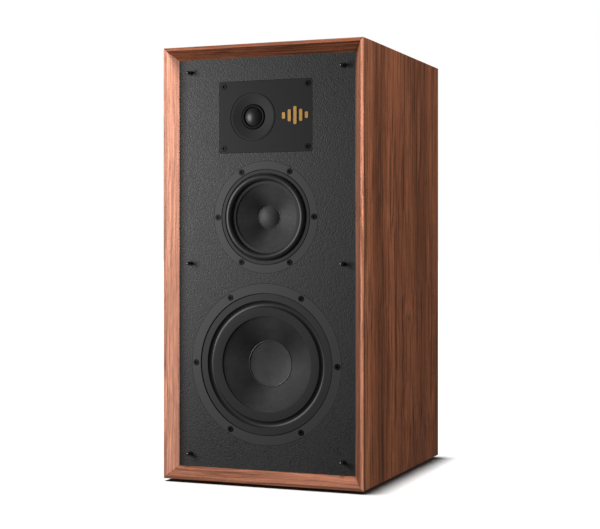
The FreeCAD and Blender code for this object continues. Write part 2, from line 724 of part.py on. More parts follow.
def cup_screw(x, z):
    seat_y = back_y + cup_flange_t - cup_head_h
    head = rod(cup_head_r, x, seat_y, back_y + cup_flange_t, z)
    slot_half = cup_screw_r / 3
    screw = head.fuse(rod(cup_screw_r, x, back_y - cup_screw_l, seat_y, z))
    slot_y = back_y + cup_flange_t - cup_head_h / 2
    for wide, tall in ((cup_screw_r, slot_half), (slot_half, cup_screw_r)):
        screw = screw.cut(box(x - wide, x + wide, slot_y, back_y + cup_flange_t, z - tall, z + tall))
    return screw


def post_places():
    return (-post_spacing / 2, post_spacing / 2)


def binding_post(x):
    return turned([
        (0, -cup_t - post_in_l), (post_r, -cup_t - post_in_l), (post_r, 0), (post_base_r, 0),
        (post_base_r, post_base_t), (post_r, post_base_t), (post_r, post_out_l), (post_bore_r, post_out_l),
        (post_bore_r, post_out_l - post_bore_l), (0, post_out_l - post_bore_l)], x, cup_floor_y, cup_height)


def post_nut(x):
    y1 = cup_floor_y - cup_t
    return hexagon(nut_flats, x, y1 - nut_t, y1, cup_height).cut(rod(post_r, x, y1 - nut_t, y1, cup_height))


def clamp_collar(x):
    return tube(
        post_r + thread_gap, collar_r, post_base_t, post_base_t + collar_t, x, cup_floor_y, cup_height)


def knob(x):
    """A fluted knob, bored through so that a plug can enter the post inside it."""
    y0 = post_base_t + collar_t
    body = tube(post_r + thread_gap, knob_r, y0, y0 + knob_l, x, cup_floor_y, cup_height)
    flutes = []
    for i in range(knob_flutes):
        turn = 2 * math.pi * i / knob_flutes
        flute_x = x + (knob_r + flute_r / 2) * math.cos(turn)
        flute_z = cup_height + (knob_r + flute_r / 2) * math.sin(turn)
        flutes.append(rod(flute_r, flute_x, cup_floor_y + y0 + collar_t, cup_floor_y + y0 + knob_l, flute_z))
    return body.cut(flutes)


# --- Crossover
def crossover_board():
    half = board_w / 2
    z0 = board_z - board_h / 2
    z1 = board_z + board_h / 2
    board = box(-half, half, board_y - board_t, board_y, z0, z1)
    for x in (-half + 2 * standoff_r, half - 2 * standoff_r):
        for z in (z0 + 2 * standoff_r, z1 - 2 * standoff_r):
            board = board.fuse(rod(standoff_r, x, board_y, back_y - back_t, z))
    return board.removeSplitter()


def inductors():
    """Three air-cored coils, standing on the board's front."""
    front = board_y - board_t
    return [
        tube(inner, outer, -length, 0, x, front, board_z + rise) for x, rise, outer, inner, length in coils]


def capacitors():
    """Four film capacitors lying along the board."""
    front = board_y - board_t
    parts = []
    for x, rise, radius, length in film_cans:
        start = V(x, front - radius, board_z + rise + foot_h)
        parts.append(Part.makeCylinder(radius, length, start, V(1, 0, 0)))
    return parts


def resistors():
    """Four cement resistors."""
    front = board_y - board_t
    return [
        box(x, x + block_l, front - block_t, front, board_z + rise, board_z + rise + block_h)
        for x, rise in cement_blocks]


# --- Internal wiring
def midrange_wire_x():
    return -(midrange["magnet_r"] + 3 * wire_bend / 2)


def cable(points):
    """A round cable along straight runs joined by tangent arcs. Points are (x, depth from the baffle, height)."""
    nodes = [V(x, baffle_y + d, z + foot_h) for x, d, z in points]
    edges = []
    here = nodes[0]
    for before, corner, after in zip(nodes, nodes[1:], nodes[2:]):
        u = (before - corner).normalize()
        w = (after - corner).normalize()
        half = u.getAngle(w) / 2
        start = corner + u * (wire_bend / math.tan(half))
        end = corner + w * (wire_bend / math.tan(half))
        towards = (u + w).normalize()
        middle = corner + towards * (wire_bend / math.sin(half) - wire_bend)
        edges.append(Part.LineSegment(here, start).toShape())
        edges.append(Part.Arc(start, middle, end).toShape())
        here = end
    edges.append(Part.LineSegment(here, nodes[-1]).toShape())
    section = Part.Wire(Part.Circle(nodes[0], nodes[1] - nodes[0], wire_r).toShape())
    return Part.Wire(edges).makePipeShell([section], True, False)


def tag_face(driver):
    """Distance of a connection tag's outer face from the driver's axis, and its depth."""
    t = driver["basket_t"]
    reach = radii(driver)["shelf_inner"] + t + driver["tag_l"]
    return reach, (depths(driver)["shelf"] + t + driver["plate_d"]) / 2


def wiring():
    board_d = board_y - board_t - baffle_y
    clear_d = board_d - 3 * wire_bend
    woofer_tag, woofer_tag_d = tag_face(woofer)
    midrange_tag, midrange_tag_d = tag_face(midrange)
    woofer_wire_x = woofer["magnet_r"] + 3 * wire_bend / 2
    post_end_d = cup_floor_y - cup_t - post_in_l - baffle_y
    loop_d = post_end_d - 3 * wire_bend / 2
    board_low = board_z - board_h / 2 + 2 * wire_r + glue
    board_high = board_z + board_h / 2 - 3 * wire_r
    cup_end_d = dome_plate_d + tweeter_plate_t + tweeter_cup_l
    wires = []
    for x in post_places():
        wires.append(cable([
            (x, post_end_d, cup_height), (x, loop_d, cup_height), (x, loop_d, board_low),
            (x, board_d, board_low)]))
    side_x = board_w / 2 - 2 * wire_bend / 3
    wires.append(cable([
        (side_x, board_d, board_low + wire_bend), (side_x, clear_d, board_low + wire_bend),
        (woofer_wire_x, clear_d - 3 * wire_bend, woofer_z), (woofer_wire_x, woofer_tag_d, woofer_z),
        (woofer_tag, woofer_tag_d, woofer_z)]))
    wires.append(cable([
        (-wire_bend, board_d, board_high), (-wire_bend, clear_d, board_high),
        (-(midrange_tag + 2 * wire_bend), clear_d - 5 * wire_bend, midrange_z),
        (midrange_wire_x(), chamber_l + 2 * baffle_t, midrange_z),
        (midrange_wire_x(), midrange_tag_d, midrange_z), (-midrange_tag, midrange_tag_d, midrange_z)]))
    wires.append(cable([
        (wire_bend, board_d, board_high), (wire_bend, clear_d, board_high),
        (dome_x / 2, clear_d - 4 * wire_bend, midrange_z + midrange["flange_r"]),
        (dome_x, cup_end_d + 4 * wire_bend, tweeter_z), (dome_x, cup_end_d, tweeter_z)]))
    return wires


# --- The nodes
def build():
    panels_y = front_y + lipping_d
    bevel = bevel_cutter()
    nodes = {
        "side_panel_left": mitred("left", panels_y, back_y),
        "side_panel_right": mitred("right", panels_y, back_y),
        "top_panel": mitred("top", panels_y, back_y),
        "bottom_panel": mitred("bottom", panels_y, back_y)}
    for side in ("left", "right", "top", "bottom"):
        nodes["front_lipping_" + side] = mitred(side, front_y, panels_y).cut(bevel)
    nodes["front_baffle"] = front_baffle()
    nodes["back_panel"] = back_panel()
    nodes["window_brace"] = window_brace()
    nodes["midrange_chamber"] = midrange_chamber()
    nodes["damping_wadding"] = side_lining()
    nodes["rubber_feet"] = rubber_feet()
    nodes["grille_pegs"] = [grille_peg(x, z) for x, z in peg_places()]
    nodes["driver_screws"] = [driver_screw(x, z) for x, z in screw_places()]
    nodes["emblem_bars"] = emblem_bars()
    nodes["port_tube_left"] = port_tube(-port_x)
    nodes["port_tube_right"] = port_tube(port_x)
    nodes.update(tweeter())
    nodes.update(cone_driver("midrange", midrange, midrange_z))
    nodes.update(cone_driver("woofer", woofer, woofer_z))
    nodes["crossover_board"] = crossover_board()
    nodes["crossover_inductors"] = inductors()
    nodes["crossover_capacitors"] = capacitors()
    nodes["crossover_resistors"] = resistors()
    nodes["wiring"] = wiring()
    nodes["terminal_cup"] = terminal_cup()
    nodes["terminal_screws"] = [cup_screw(x, z) for x, z in cup_screw_places()]
    nodes["binding_posts"] = [binding_post(x) for x in post_places()]
    nodes["post_nuts"] = [post_nut(x) for x in post_places()]
    for colour, x in zip(("red", "black"), post_places()):
        nodes["clamp_collar_" + colour] = clamp_collar(x)
        nodes["knob_" + colour] = knob(x)
    return nodes


os.makedirs("parts", exist_ok=True)
for node, shape in build().items():
    solids = shape if isinstance(shape, list) else shape.Solids
    shape = Part.makeCompound(solids) if len(solids) > 1 else solids[0]
    print(node, len(shape.Solids), round(shape.Volume / 1000, 2), "cm3", "valid" if shape.isValid() else "INVALID")
    shape.exportStep(os.path.join("parts", node + ".step"))
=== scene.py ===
# %% [markdown]
# # A three-way bookshelf speaker
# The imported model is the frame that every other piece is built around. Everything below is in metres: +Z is
# up, the front faces -Y, and the floor is at Z = 0.

# %% Load the frame
import json
import math

import bmesh
import bpy
from mathutils import Matrix, Vector
from mathutils.noise import turbulence
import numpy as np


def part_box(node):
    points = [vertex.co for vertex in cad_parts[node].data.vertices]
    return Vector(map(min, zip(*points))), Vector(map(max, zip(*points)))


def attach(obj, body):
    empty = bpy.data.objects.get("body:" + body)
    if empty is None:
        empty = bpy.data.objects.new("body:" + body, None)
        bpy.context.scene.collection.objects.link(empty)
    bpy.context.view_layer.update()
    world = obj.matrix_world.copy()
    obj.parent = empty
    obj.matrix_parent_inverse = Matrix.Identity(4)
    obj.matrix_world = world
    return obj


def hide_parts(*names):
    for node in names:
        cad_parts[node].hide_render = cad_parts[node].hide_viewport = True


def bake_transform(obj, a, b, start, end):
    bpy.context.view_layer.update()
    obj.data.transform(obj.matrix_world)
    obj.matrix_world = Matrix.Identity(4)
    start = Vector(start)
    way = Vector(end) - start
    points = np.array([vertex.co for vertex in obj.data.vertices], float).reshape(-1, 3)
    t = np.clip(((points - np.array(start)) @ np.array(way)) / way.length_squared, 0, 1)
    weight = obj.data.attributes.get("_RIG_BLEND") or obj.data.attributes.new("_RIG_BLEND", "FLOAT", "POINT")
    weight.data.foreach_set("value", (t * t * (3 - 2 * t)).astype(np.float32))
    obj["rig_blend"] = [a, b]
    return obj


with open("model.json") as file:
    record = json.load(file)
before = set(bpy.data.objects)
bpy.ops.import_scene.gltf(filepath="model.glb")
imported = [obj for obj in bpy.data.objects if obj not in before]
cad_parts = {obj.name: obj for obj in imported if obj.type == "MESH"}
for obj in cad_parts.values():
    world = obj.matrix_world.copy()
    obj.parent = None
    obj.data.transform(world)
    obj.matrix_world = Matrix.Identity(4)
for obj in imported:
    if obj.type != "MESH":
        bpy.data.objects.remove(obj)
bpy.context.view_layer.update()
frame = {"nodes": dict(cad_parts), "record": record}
nodes = frame["nodes"]

# %% [markdown]
# ## Camera
# The camera comes first, because every later choice of detail depends on how large a thing looks from
# there. It stands a couple of metres away, level, at a little over half the cabinet's height and to the
# right of its front. A level camera keeps the cabinet's upright edges upright, and a small vertical shift
# frames it instead of a tilt.

# %% Camera
MM = 0.001
front_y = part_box("front_lipping_top")[0].y
floor_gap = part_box("bottom_panel")[0].z
camera_turn = math.radians(21.7)
camera_right, camera_away, camera_height = 761.2 * MM, 1766.2 * MM, 327.6 * MM
camera_data = bpy.data.cameras.new("camera")
camera_data.sensor_width = 36
camera_data.lens = 83.6
camera_data.shift_y = -0.0285
camera = bpy.data.objects.new("camera", camera_data)
camera.location = (camera_right, front_y - camera_away, floor_gap + camera_height)
camera.rotation_euler = (math.pi / 2, 0, camera_turn)
bpy.context.scene.collection.objects.link(camera)
bpy.context.scene.camera = camera
print("camera at", [round(v, 3) for v in camera.location])

# %% [markdown]
# ## Studio
# The speaker stands on a pale floor that runs on into a pale room, so the only things that shape it are the
# lights. The floor is a single large square. It doesn't light the speaker or show in its gloss, so its size
# and tone can be chosen for the picture alone.

# %% Floor
def stage_floor(size, tone):
    mesh = bpy.data.meshes.new("studio_floor")
    shape = bmesh.new()
    bmesh.ops.create_grid(shape, x_segments=1, y_segments=1, size=size)
    shape.to_mesh(mesh)
    shape.free()
    floor = bpy.data.objects.new("studio_floor", mesh)
    bpy.context.scene.collection.objects.link(floor)
    paint = bpy.data.materials.new("studio_paint")
    paint.use_nodes = True
    shader = paint.node_tree.nodes["Principled BSDF"]
    shader.inputs["Base Color"].default_value = (tone, tone, tone, 1)
    shader.inputs["Roughness"].default_value = 0.9
    shader.inputs["Specular IOR Level"].default_value = 0.0
    mesh.materials.append(paint)
    floor.visible_diffuse = False
    floor.visible_glossy = False
    return floor


floor = stage_floor(size=30, tone=0.48)
print("floor:", floor.name)

# %% [markdown]
# ### Room
# The room gives only a faint even light, so the lamps keep their say, but what the camera sees of it is
# plain white. A Mix node chooses between the two by asking whether the ray comes from the camera. The
# Standard view transform shows the finishes' colours as they were chosen, where a filmic one would grey the
# blacks.

# %% Room
def room(strength, seen):
    world = bpy.data.worlds.new("room")
    world.use_nodes = True
    tree = world.node_tree
    glow = tree.nodes["Background"]
    glow.inputs["Color"].default_value = (1, 1, 1, 1)
    path = tree.nodes.new("ShaderNodeLightPath")
    level = tree.nodes.new("ShaderNodeMix")
    level.inputs[2].default_value = strength
    level.inputs[3].default_value = seen
    tree.links.new(path.outputs["Is Camera Ray"], level.inputs[0])
    tree.links.new(level.outputs[0], glow.inputs["Strength"])
    bpy.context.scene.world = world
    bpy.context.scene.view_settings.view_transform = "Standard"


room(strength=0.11, seen=1.0)
print("room:", bpy.context.scene.world.name)

# %% [markdown]
# ### Lights
# Wood and black plastic want different lights. The bevels of the front frame need a broad key from one
# side. The black parts show mostly what they mirror, so they need something bright to mirror from the other
# side. The top panel and the left side have lights of their own, and a wide one behind fills the back. A
# nearly overhead sun with a soft edge draws the short shadow on the floor. A lamp's place is given as it
# would be in a studio: how far round, how high, how far away, and what it points at.

# %% Lights
def direction(azimuth, elevation):
    """Azimuth 0 is straight in front and positive to the right, in degrees."""
    turn, lift = math.radians(azimuth), math.radians(elevation)
    return Vector((math.sin(turn) * math.cos(lift), -math.cos(turn) * math.cos(lift), math.sin(lift)))


def hang(data, place, away):
    """Puts a lamp at a place, so that it faces back against the given direction."""
    lamp = bpy.data.objects.new(data.name, data)
    lamp.location = place
    lamp.rotation_euler = away.to_track_quat("Z", "Y").to_euler()
    bpy.context.scene.collection.objects.link(lamp)
    return lamp


def soft_light(name, azimuth, elevation, distance, size, watts, aim):
    """A rectangular light of the given width and height that faces a point."""
    data = bpy.data.lights.new(name, "AREA")
    data.shape = "RECTANGLE"
    data.size, data.size_y = size
    data.energy = watts
    away = direction(azimuth, elevation)
    return hang(data, Vector(aim) + away * distance, away)


def sun(name, azimuth, elevation, strength, softness):
    """A distant light, whose softness is its apparent width in degrees."""
    data = bpy.data.lights.new(name, "SUN")
    data.energy = strength
    data.angle = math.radians(softness)
    return hang(data, (0, 0, 0), direction(azimuth, elevation))


centre_aim = (0, 0, 0.33)
right_aim = (0.05, -0.15, 0.35)
lid_aim = (0, front_y, 0.60)
bounce_aim = (0, front_y, 0.30)
drivers_aim = (0, front_y, 0.355)
floor_light = sun("floor_light", -75, 88.0, 7.4, 3.8)
wood_key = soft_light("wood_key", 40, 20, 2.4, (0.7, 0.7), 50, centre_aim)
wood_top = soft_light("wood_top", 20, 68, 1.15, (0.4, 0.4), 24, right_aim)
wood_sheen = soft_light("wood_sheen", -24, 4, 1.8, (0.5, 0.9), 3.5, centre_aim)
wood_side = soft_light("wood_side", 75, 62, 1.2, (0.4, 0.4), 9, right_aim)
wood_lid = soft_light("wood_lid", 20, 40, 1.5, (0.5, 0.5), 30, lid_aim)
wood_bounce = soft_light("wood_bounce", 10, -14, 1.0, (1.0, 0.3), 1.2, bounce_aim)
black_key = soft_light("black_key", -54, 8, 0.80, (0.3, 0.6), 7.6, drivers_aim)
left_fill = soft_light("left_fill", -90, 25, 2.4, (1.2, 1.2), 22, centre_aim)
rear_fill = soft_light("rear_fill", 180, 35, 2.6, (1.6, 1.2), 25, centre_aim)
print("studio:", len(bpy.data.lights), "lights")

# %% [markdown]
# ## Softening hard edges
# Nothing that is sawn, moulded or cast ends in a knife edge. Each visible part of the case gets a copy of
# its mesh with the seams joined, the flat faces made whole again and a small round on every sharp edge,
# because it is that round which catches the light and draws the part's outline.

# %% Softened copies of frame parts
SEAM = 0.01 * MM
FLAT_ANGLE = math.radians(0.3)
SHARP_DEGREES = 38


def softened(node, name, width, segments):
    """A copy of one frame part with its sharp edges rounded to the given width."""
    piece = bpy.data.objects.new(name, nodes[node].data.copy())
    bpy.context.scene.collection.objects.link(piece)
    shape = bmesh.new()
    shape.from_mesh(piece.data)
    bmesh.ops.remove_doubles(shape, verts=shape.verts, dist=SEAM)
    bmesh.ops.dissolve_limit(
        shape, angle_limit=FLAT_ANGLE, verts=shape.verts, edges=shape.edges, use_dissolve_boundaries=False)
    bmesh.ops.recalc_face_normals(shape, faces=shape.faces)
    shape.to_mesh(piece.data)
    shape.free()
    round_over(piece, width, segments)
    return stands_for(piece, node)


def round_over(piece, width, segments, angle=SHARP_DEGREES):
    """A bevel along every edge sharper than the angle, with the shading kept flat between the rounds."""
    piece.data.shade_smooth()
    piece.data.set_sharp_from_angle(angle=math.radians(angle))
    rounding = piece.modifiers.new("rounded edges", "BEVEL")
    rounding.width = width
    rounding.segments = segments
    rounding.limit_method = "ANGLE"
    rounding.angle_limit = math.radians(angle)
    rounding.harden_normals = True
    return piece


slot_of = {part["node"]: part["material_slot"] for part in frame["record"]["subparts"]}
bodies = frame["record"]["behaviour"]["bodies"]
body_of_node = {node: body for body, names in bodies.items() for node in names}
made = {}


def stands_for(piece, node):
    """Shows a piece in place of a frame part, on the same body, and records it so that it takes that part's
    finish when the parts are dressed.
    """
    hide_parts(node)
    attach(piece, body_of_node[node])
    made[node] = piece
    return piece


panels = ("side_panel_left", "side_panel_right", "top_panel", "bottom_panel", "back_panel")
lippings = ("front_lipping_left", "front_lipping_right", "front_lipping_top", "front_lipping_bottom")
for node in panels:
    softened(node, node + "_veneered", width=0.25 * MM, segments=2)
for node in lippings:
    softened(node, node + "_sanded", width=0.5 * MM, segments=3)
print("softened", len(made), "parts")

# %% [markdown]
# ## Turned pieces
# Almost everything in a drive unit is round, so it can be made as it would be on a lathe: draw half of the
# section and turn it about the driver's axis. The section is given as radius and depth behind the front
# board, in millimetres. An arc in a section is drawn with enough points to look round from close by.

# %% A small lathe
baffle_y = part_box("front_baffle")[0].y
POLE = 0.002 * MM
TURNED_SHARP = math.radians(32)


def middle(node):
    """The x and z of a driver's axis, from the box of one of its round parts."""
    low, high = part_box(node)
    return ((low.x + high.x) / 2, (low.z + high.z) / 2)


def arc(radius, depth, size, start, stop, steps):
    """Points along a circle in a section; 0 degrees is outwards and 90 is backwards."""
    turns = [math.radians(start + (stop - start) * i / steps) for i in range(steps + 1)]
    return [(radius + size * math.cos(turn), depth + size * math.sin(turn)) for turn in turns]


def lathe(name, section, centre, steps, closed=True):
    """Turns a section of (radius, depth) points in millimetres about a driver's axis. A section that ends on
    the axis has its pole merged there."""
    x, z = centre
    shape = bmesh.new()
    points = [shape.verts.new((x + radius * MM, baffle_y + depth * MM, z)) for radius, depth in section]
    pairs = list(zip(points, points[1:])) + ([(points[-1], points[0])] if closed else [])
    edges = [shape.edges.new(pair) for pair in pairs]
    bmesh.ops.spin(
        shape, geom=points + edges, cent=(x, 0, z), axis=(0, 1, 0), angle=2 * math.pi, steps=steps,
        use_merge=True)
    bmesh.ops.remove_doubles(shape, verts=shape.verts, dist=POLE)
    bmesh.ops.recalc_face_normals(shape, faces=shape.faces)
    mesh = bpy.data.meshes.new(name)
    shape.to_mesh(mesh)
    shape.free()
    mesh.shade_smooth()
    mesh.set_sharp_from_angle(angle=TURNED_SHARP)
    piece = bpy.data.objects.new(name, mesh)
    bpy.context.scene.collection.objects.link(piece)
    return piece


print("lathe ready; front board's face at", round(baffle_y, 4))

# %% [markdown]
# ### Sizes of the two cone drivers
# The woofer and the midrange are built alike, so one table holds both. Radii and depths are in millimetres.
# Depth is counted back from the front board's face, so what stands proud of it is negative. `ring` is the
# trim ring's inner and outer radius and the depths of its front and back. `roll` is the rubber roll's inner
# and outer radius, how far it bulges, and 1 if it is sunk or -1 if it is raised. `seat` is the depth of the
# rubber's face and `rubber` its thickness. It ends on the cone at the radius `landing`, where it has dipped
# by `dip`. The cone runs from its `rim` to its `neck`, which is a radius and a depth, and `cone_t` is its
# thickness. `cap` is the dust cap's radius, rise and thickness. `spider` is the depth of its corrugations,
# their size, its thickness, the height of its collar on the coil, the drop to its outer edge and that
# edge's width.

# %% Cone driver sizes
drivers = {
    "woofer": dict(
        ring=(89.0, 98.5, 1.2, 2.0), roll=(79.4, 88.5, 2.6, 1), seat=2.0, rubber=1.0, landing=67.0, dip=0.8,
        rim=78.5, neck=(19.9, 24.0), cone_t=0.8, cap=(32.0, -3.5, 0.8),
        spider=(33.0, 2.4, 0.6, 2.5, 2.0, 5.5)),
    "midrange": dict(
        ring=(61.5, 66.0, 0.2, 1.7), roll=(50.5, 60.5, 5.0, -1), seat=1.7, rubber=0.8, landing=46.0, dip=0.3,
        rim=51.0, neck=(13.0, 18.0), cone_t=0.6, cap=(16.0, 5.0, 0.6),
        spider=(26.0, 1.4, 0.5, 1.5, 1.5, 4.5))}
for name, size in drivers.items():
    size["centre"] = middle(name + "_trim_ring")
    print(name, "axis at", [round(v, 4) for v in size["centre"]])

# %% [markdown]
# ### Skins
# Surrounds, cones, caps, domes and spiders are thin skins. Each is drawn as one open line, turned, and then
# given its thickness backwards, so the line that is drawn is the face that shows.

# %% Turned skins
SKIN_SHARP = math.radians(30)


def skin(name, line, centre, thick, steps):
    """Turns an open line into a surface that faces forwards, and thickens it towards the back."""
    piece = lathe(name, line, centre, steps, closed=False)
    shape = bmesh.new()
    shape.from_mesh(piece.data)
    backwards = sum(face.normal.y * face.calc_area() for face in shape.faces)
    if backwards > 0:
        bmesh.ops.reverse_faces(shape, faces=shape.faces)
    bmesh.ops.solidify(shape, geom=shape.faces[:], thickness=thick * MM)
    # With its thickness, an open skin is one closed shell, so all of it can be turned outwards.
    bmesh.ops.recalc_face_normals(shape, faces=shape.faces)
    shape.to_mesh(piece.data)
    shape.free()
    piece.data.shade_smooth()
    piece.data.set_sharp_from_angle(angle=SKIN_SHARP)
    return piece


def stretches(piece, node, centre, still, moving, diaphragm):
    """Lets a skin stretch between the frame and the diaphragm, by its distance from the driver's axis. It
    keeps still at the first radius and moves with the diaphragm at the second."""
    x, z = centre
    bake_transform(piece, "cabinet", diaphragm, (x + still * MM, baffle_y, z), (x + moving * MM, baffle_y, z))
    weights = piece.data.attributes["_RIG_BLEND"].data
    for vertex, weight in zip(piece.data.vertices, weights):
        radius = math.hypot(vertex.co.x - x, vertex.co.z - z) / MM
        share = min(1.0, max(0.0, (still - radius) / (still - moving)))
        weight.value = share * share * (3 - 2 * share)
    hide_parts(node)
    made[node] = piece


def dome_line(radius, edge_depth, rise, steps=20):
    """A line over a shallow dome, from its edge to the axis. A negative rise makes a bowl."""
    sphere = (radius ** 2 + rise ** 2) / (2 * abs(rise))
    edge = math.degrees(math.acos(radius / sphere))
    side = -1 if rise > 0 else 1
    return arc(0, edge_depth - rise - side * sphere, sphere, side * edge, side * 90, steps)


print("skins ready")

# %% [markdown]
# ### Surrounds
# The rubber edge of a cone is a roll between two flat strips. It lets the cone move and keeps it centred,
# so its outer strip belongs to the frame, its inner strip to the cone, and the roll between them stretches.
# The woofer's roll is a shallow groove and the midrange's a half round that stands out, so each is drawn as
# an arc, whose radius follows from its width and depth.

# %% Surrounds
FINE_STEPS = 192
STRIP_EDGE = 0.6
ROLL_STEPS = 28
for name, size in drivers.items():
    centre = size["centre"]
    inner_roll, outer_roll, deep, sign = size["roll"]
    outer = size["ring"][1]
    front = size["seat"]
    half = (outer_roll - inner_roll) / 2
    curve = (half ** 2 + deep ** 2) / (2 * deep)
    start = math.degrees(math.asin((curve - deep) / curve))
    roll_centre = ((inner_roll + outer_roll) / 2, front - sign * (curve - deep))
    line = [(outer, front), (outer_roll + STRIP_EDGE, front)]
    line += arc(*roll_centre, curve, sign * start, sign * (180 - start), ROLL_STEPS)
    line += [(inner_roll - STRIP_EDGE, front), (size["landing"], front + size["dip"])]
    rubber = skin(name + "_rubber_surround", line, centre, size["rubber"], FINE_STEPS)
    stretches(rubber, name + "_surround", centre, outer_roll, inner_roll, name + "_diaphragm")
    print(name, "surround:", round(half * 2, 1), "mm wide roll,", deep, "mm deep")

# %% [markdown]
# ### Cones and dust caps
# A cone is a plain funnel from the voice coil out to the surround. The rubber is glued over its rim, which
# slopes only slightly. A shallow cap closes the hole in the middle: the midrange's is domed and the
# woofer's is a bowl. It is held by a bead of glue, which shows as a thin bright line.

# %% Cones, caps and glue beads
BEAD_SIZE, BEAD_OUT, BEAD_PROUD = 0.62, 0.15, 0.25
BEAD_POINTS = 12
CAP_STEPS = 128
for name, size in drivers.items():
    centre = size["centre"]
    seat = size["seat"] + size["rubber"]
    neck_r, neck_d = size["neck"]
    landing = size["landing"]
    line = [(size["rim"], seat), (landing, seat + size["dip"]), (neck_r, neck_d)]
    stands_for(skin(name + "_woven_cone", line, centre, size["cone_t"], FINE_STEPS), name + "_cone")
    cap_r, rise, cap_t = size["cap"]
    slope = (neck_d - seat) / (landing - neck_r)
    edge = seat + (landing - cap_r) * slope
    line = dome_line(cap_r, edge, rise)
    stands_for(skin(name + "_woven_cap", line, centre, cap_t, CAP_STEPS), name + "_dust_cap")
    ring = arc(
        cap_r + BEAD_OUT, edge - BEAD_PROUD, BEAD_SIZE, 0, 360 - 360 / BEAD_POINTS, BEAD_POINTS - 1)
    bead = lathe(name + "_glue_bead", ring, centre, CAP_STEPS)
    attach(bead, name + "_diaphragm")
    made[name + "_bead"] = bead
    print(name, "cap: edge at", round(edge, 2), "mm behind the front board")

# %% [markdown]
# ### Spiders
# Behind each cone a ring of corrugated cloth holds the coil in the middle of its gap. A sine wave draws the
# corrugations, and they stretch with the cone just as the rubber does.

# %% Spiders
HALF_WAVES = 5
WAVE_POINTS = 60
WAVE_HEIGHT = 0.86
COLLAR_GAP = 0.05
COLLAR_BASE = 0.4
EDGE_GAP = 0.1
SPIDER_STEPS = 144


def spider_line(size):
    """The cloth's section, and the radii at which its corrugations start and end."""
    level, roll, thick, neck_up, drop, edge_w = size["spider"]
    start = size["neck"][0] + thick / 2
    span = 2 * HALF_WAVES * roll
    line = [(start + COLLAR_GAP, level + neck_up), (start + COLLAR_GAP, level + COLLAR_BASE)]
    for i in range(1, WAVE_POINTS + 1):
        share = i / WAVE_POINTS
        wave = roll * WAVE_HEIGHT * math.sin(HALF_WAVES * math.pi * share)
        line.append((start + span * share, level - wave))
    edge = start + span + thick / 2
    line += [(edge, level + drop), (edge + edge_w - EDGE_GAP, level + drop)]
    return line, start, start + span


for name, size in drivers.items():
    line, inner, outer = spider_line(size)
    cloth = skin(name + "_corrugated_spider", line, size["centre"], size["spider"][2], SPIDER_STEPS)
    stretches(cloth, name + "_spider", size["centre"], outer, inner, name + "_diaphragm")
print("spiders:", made["woofer_spider"].name, "and", made["midrange_spider"].name)

# %% [markdown]
# ### Trim rings
# A soft rubber ring hides the glued edge of each surround. Its corners are rounded enough to show a thin
# highlight.

# %% Trim rings
for name, size in drivers.items():
    inner, outer, front, back = size["ring"]
    section = [(inner, front), (outer, front), (outer, back), (inner, back)]
    ring = lathe(name + "_edge_ring", section, size["centre"], FINE_STEPS)
    stands_for(round_over(ring, width=0.3 * MM, segments=3), name + "_trim_ring")
print("trim rings:", made["woofer_trim_ring"].name, "and", made["midrange_trim_ring"].name)

# %% [markdown]
# ### Tweeter
# The tweeter is a coated fabric dome, 26 mm across, with a small raised roll of the same fabric round it. The
# roll is clamped under the plate, so only its inner part shows. It gets a much darker copy of the dome's
# finish, which paints in the shade of the narrow gap round the dome.

# %% Tweeter dome and its surround
tweeter_centre = middle("tweeter_dome")
dome_r, dome_rise, dome_t = 13.2, 6.0, 0.4
cloth_front, cloth_t = 3.5, 0.4
roll_r, clamp_r = 17.4, 34.0
strip_edge, tuck = 0.4, 0.02
line = dome_line(dome_r, cloth_front, dome_rise, steps=32)
stands_for(skin("tweeter_fabric_dome", line, tweeter_centre, dome_t, CAP_STEPS), "tweeter_dome")
line = [(clamp_r - EDGE_GAP, cloth_front + tuck), (roll_r + strip_edge, cloth_front + tuck)]
line += arc((dome_r + roll_r) / 2, cloth_front, (roll_r - dome_r) / 2, 0, -180, steps=20)
fabric = skin("tweeter_fabric_roll", line, tweeter_centre, cloth_t, CAP_STEPS)
stretches(fabric, "tweeter_surround", tweeter_centre, roll_r, dome_r, "tweeter_diaphragm")
print("tweeter:", made["tweeter_dome"].name, made["tweeter_surround"].name)

# %% [markdown]
# ### Wadding
# Loose white wadding lines the inside of both side walls. It is a soft slab, so it is a rounded block whose
# inner face swells and dips a little.

# %% Wadding
SLAB_T = 22 * MM
SWELL = 5 * MM
LUMPS_PER_METRE = 9
OCTAVES = 3
LONG_EDGE = 50 * MM


def wadding(name, node):
    low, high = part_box(node)
    shape = bmesh.new()
    for side in (-1, 1):
        centre = (side * (high.x - SLAB_T / 2), (low.y + high.y) / 2, (low.z + high.z) / 2)
        size = Matrix.Diagonal((SLAB_T, high.y - low.y, high.z - low.z, 1))
        block = bmesh.ops.create_cube(shape, size=1)["verts"]
        bmesh.ops.transform(shape, matrix=Matrix.Translation(centre) @ size, verts=block)
    long_edges = [edge for edge in shape.edges if edge.calc_length() > LONG_EDGE]
    bmesh.ops.subdivide_edges(shape, edges=long_edges, cuts=14, use_grid_fill=True)
    for vertex in shape.verts:
        if abs(vertex.co.x) < high.x - SLAB_T / 2:
            swell = turbulence(vertex.co * LUMPS_PER_METRE, OCTAVES, False) * SWELL
            vertex.co.x += math.copysign(min(SWELL, abs(swell)), vertex.co.x)
    bmesh.ops.recalc_face_normals(shape, faces=shape.faces)
    mesh = bpy.data.meshes.new(name)
    shape.to_mesh(mesh)
    shape.free()
    piece = bpy.data.objects.new(name, mesh)
    bpy.context.scene.collection.objects.link(piece)
    round_over(piece, width=4 * MM, segments=3, angle=50)
    return stands_for(piece, node)


wadding("wadding_slabs", "damping_wadding")
print("wadding on both side walls")

# %% [markdown]
# ## Shared shader groups
# Several finishes need the same effect at different sizes: a stretched wood figure, an over-and-under
# weave, a fine mottle of dust and handling. Each effect is one node group, with its sizes as inputs, and it
# gives out only colours, masks and heights. The shader itself stays in each material.

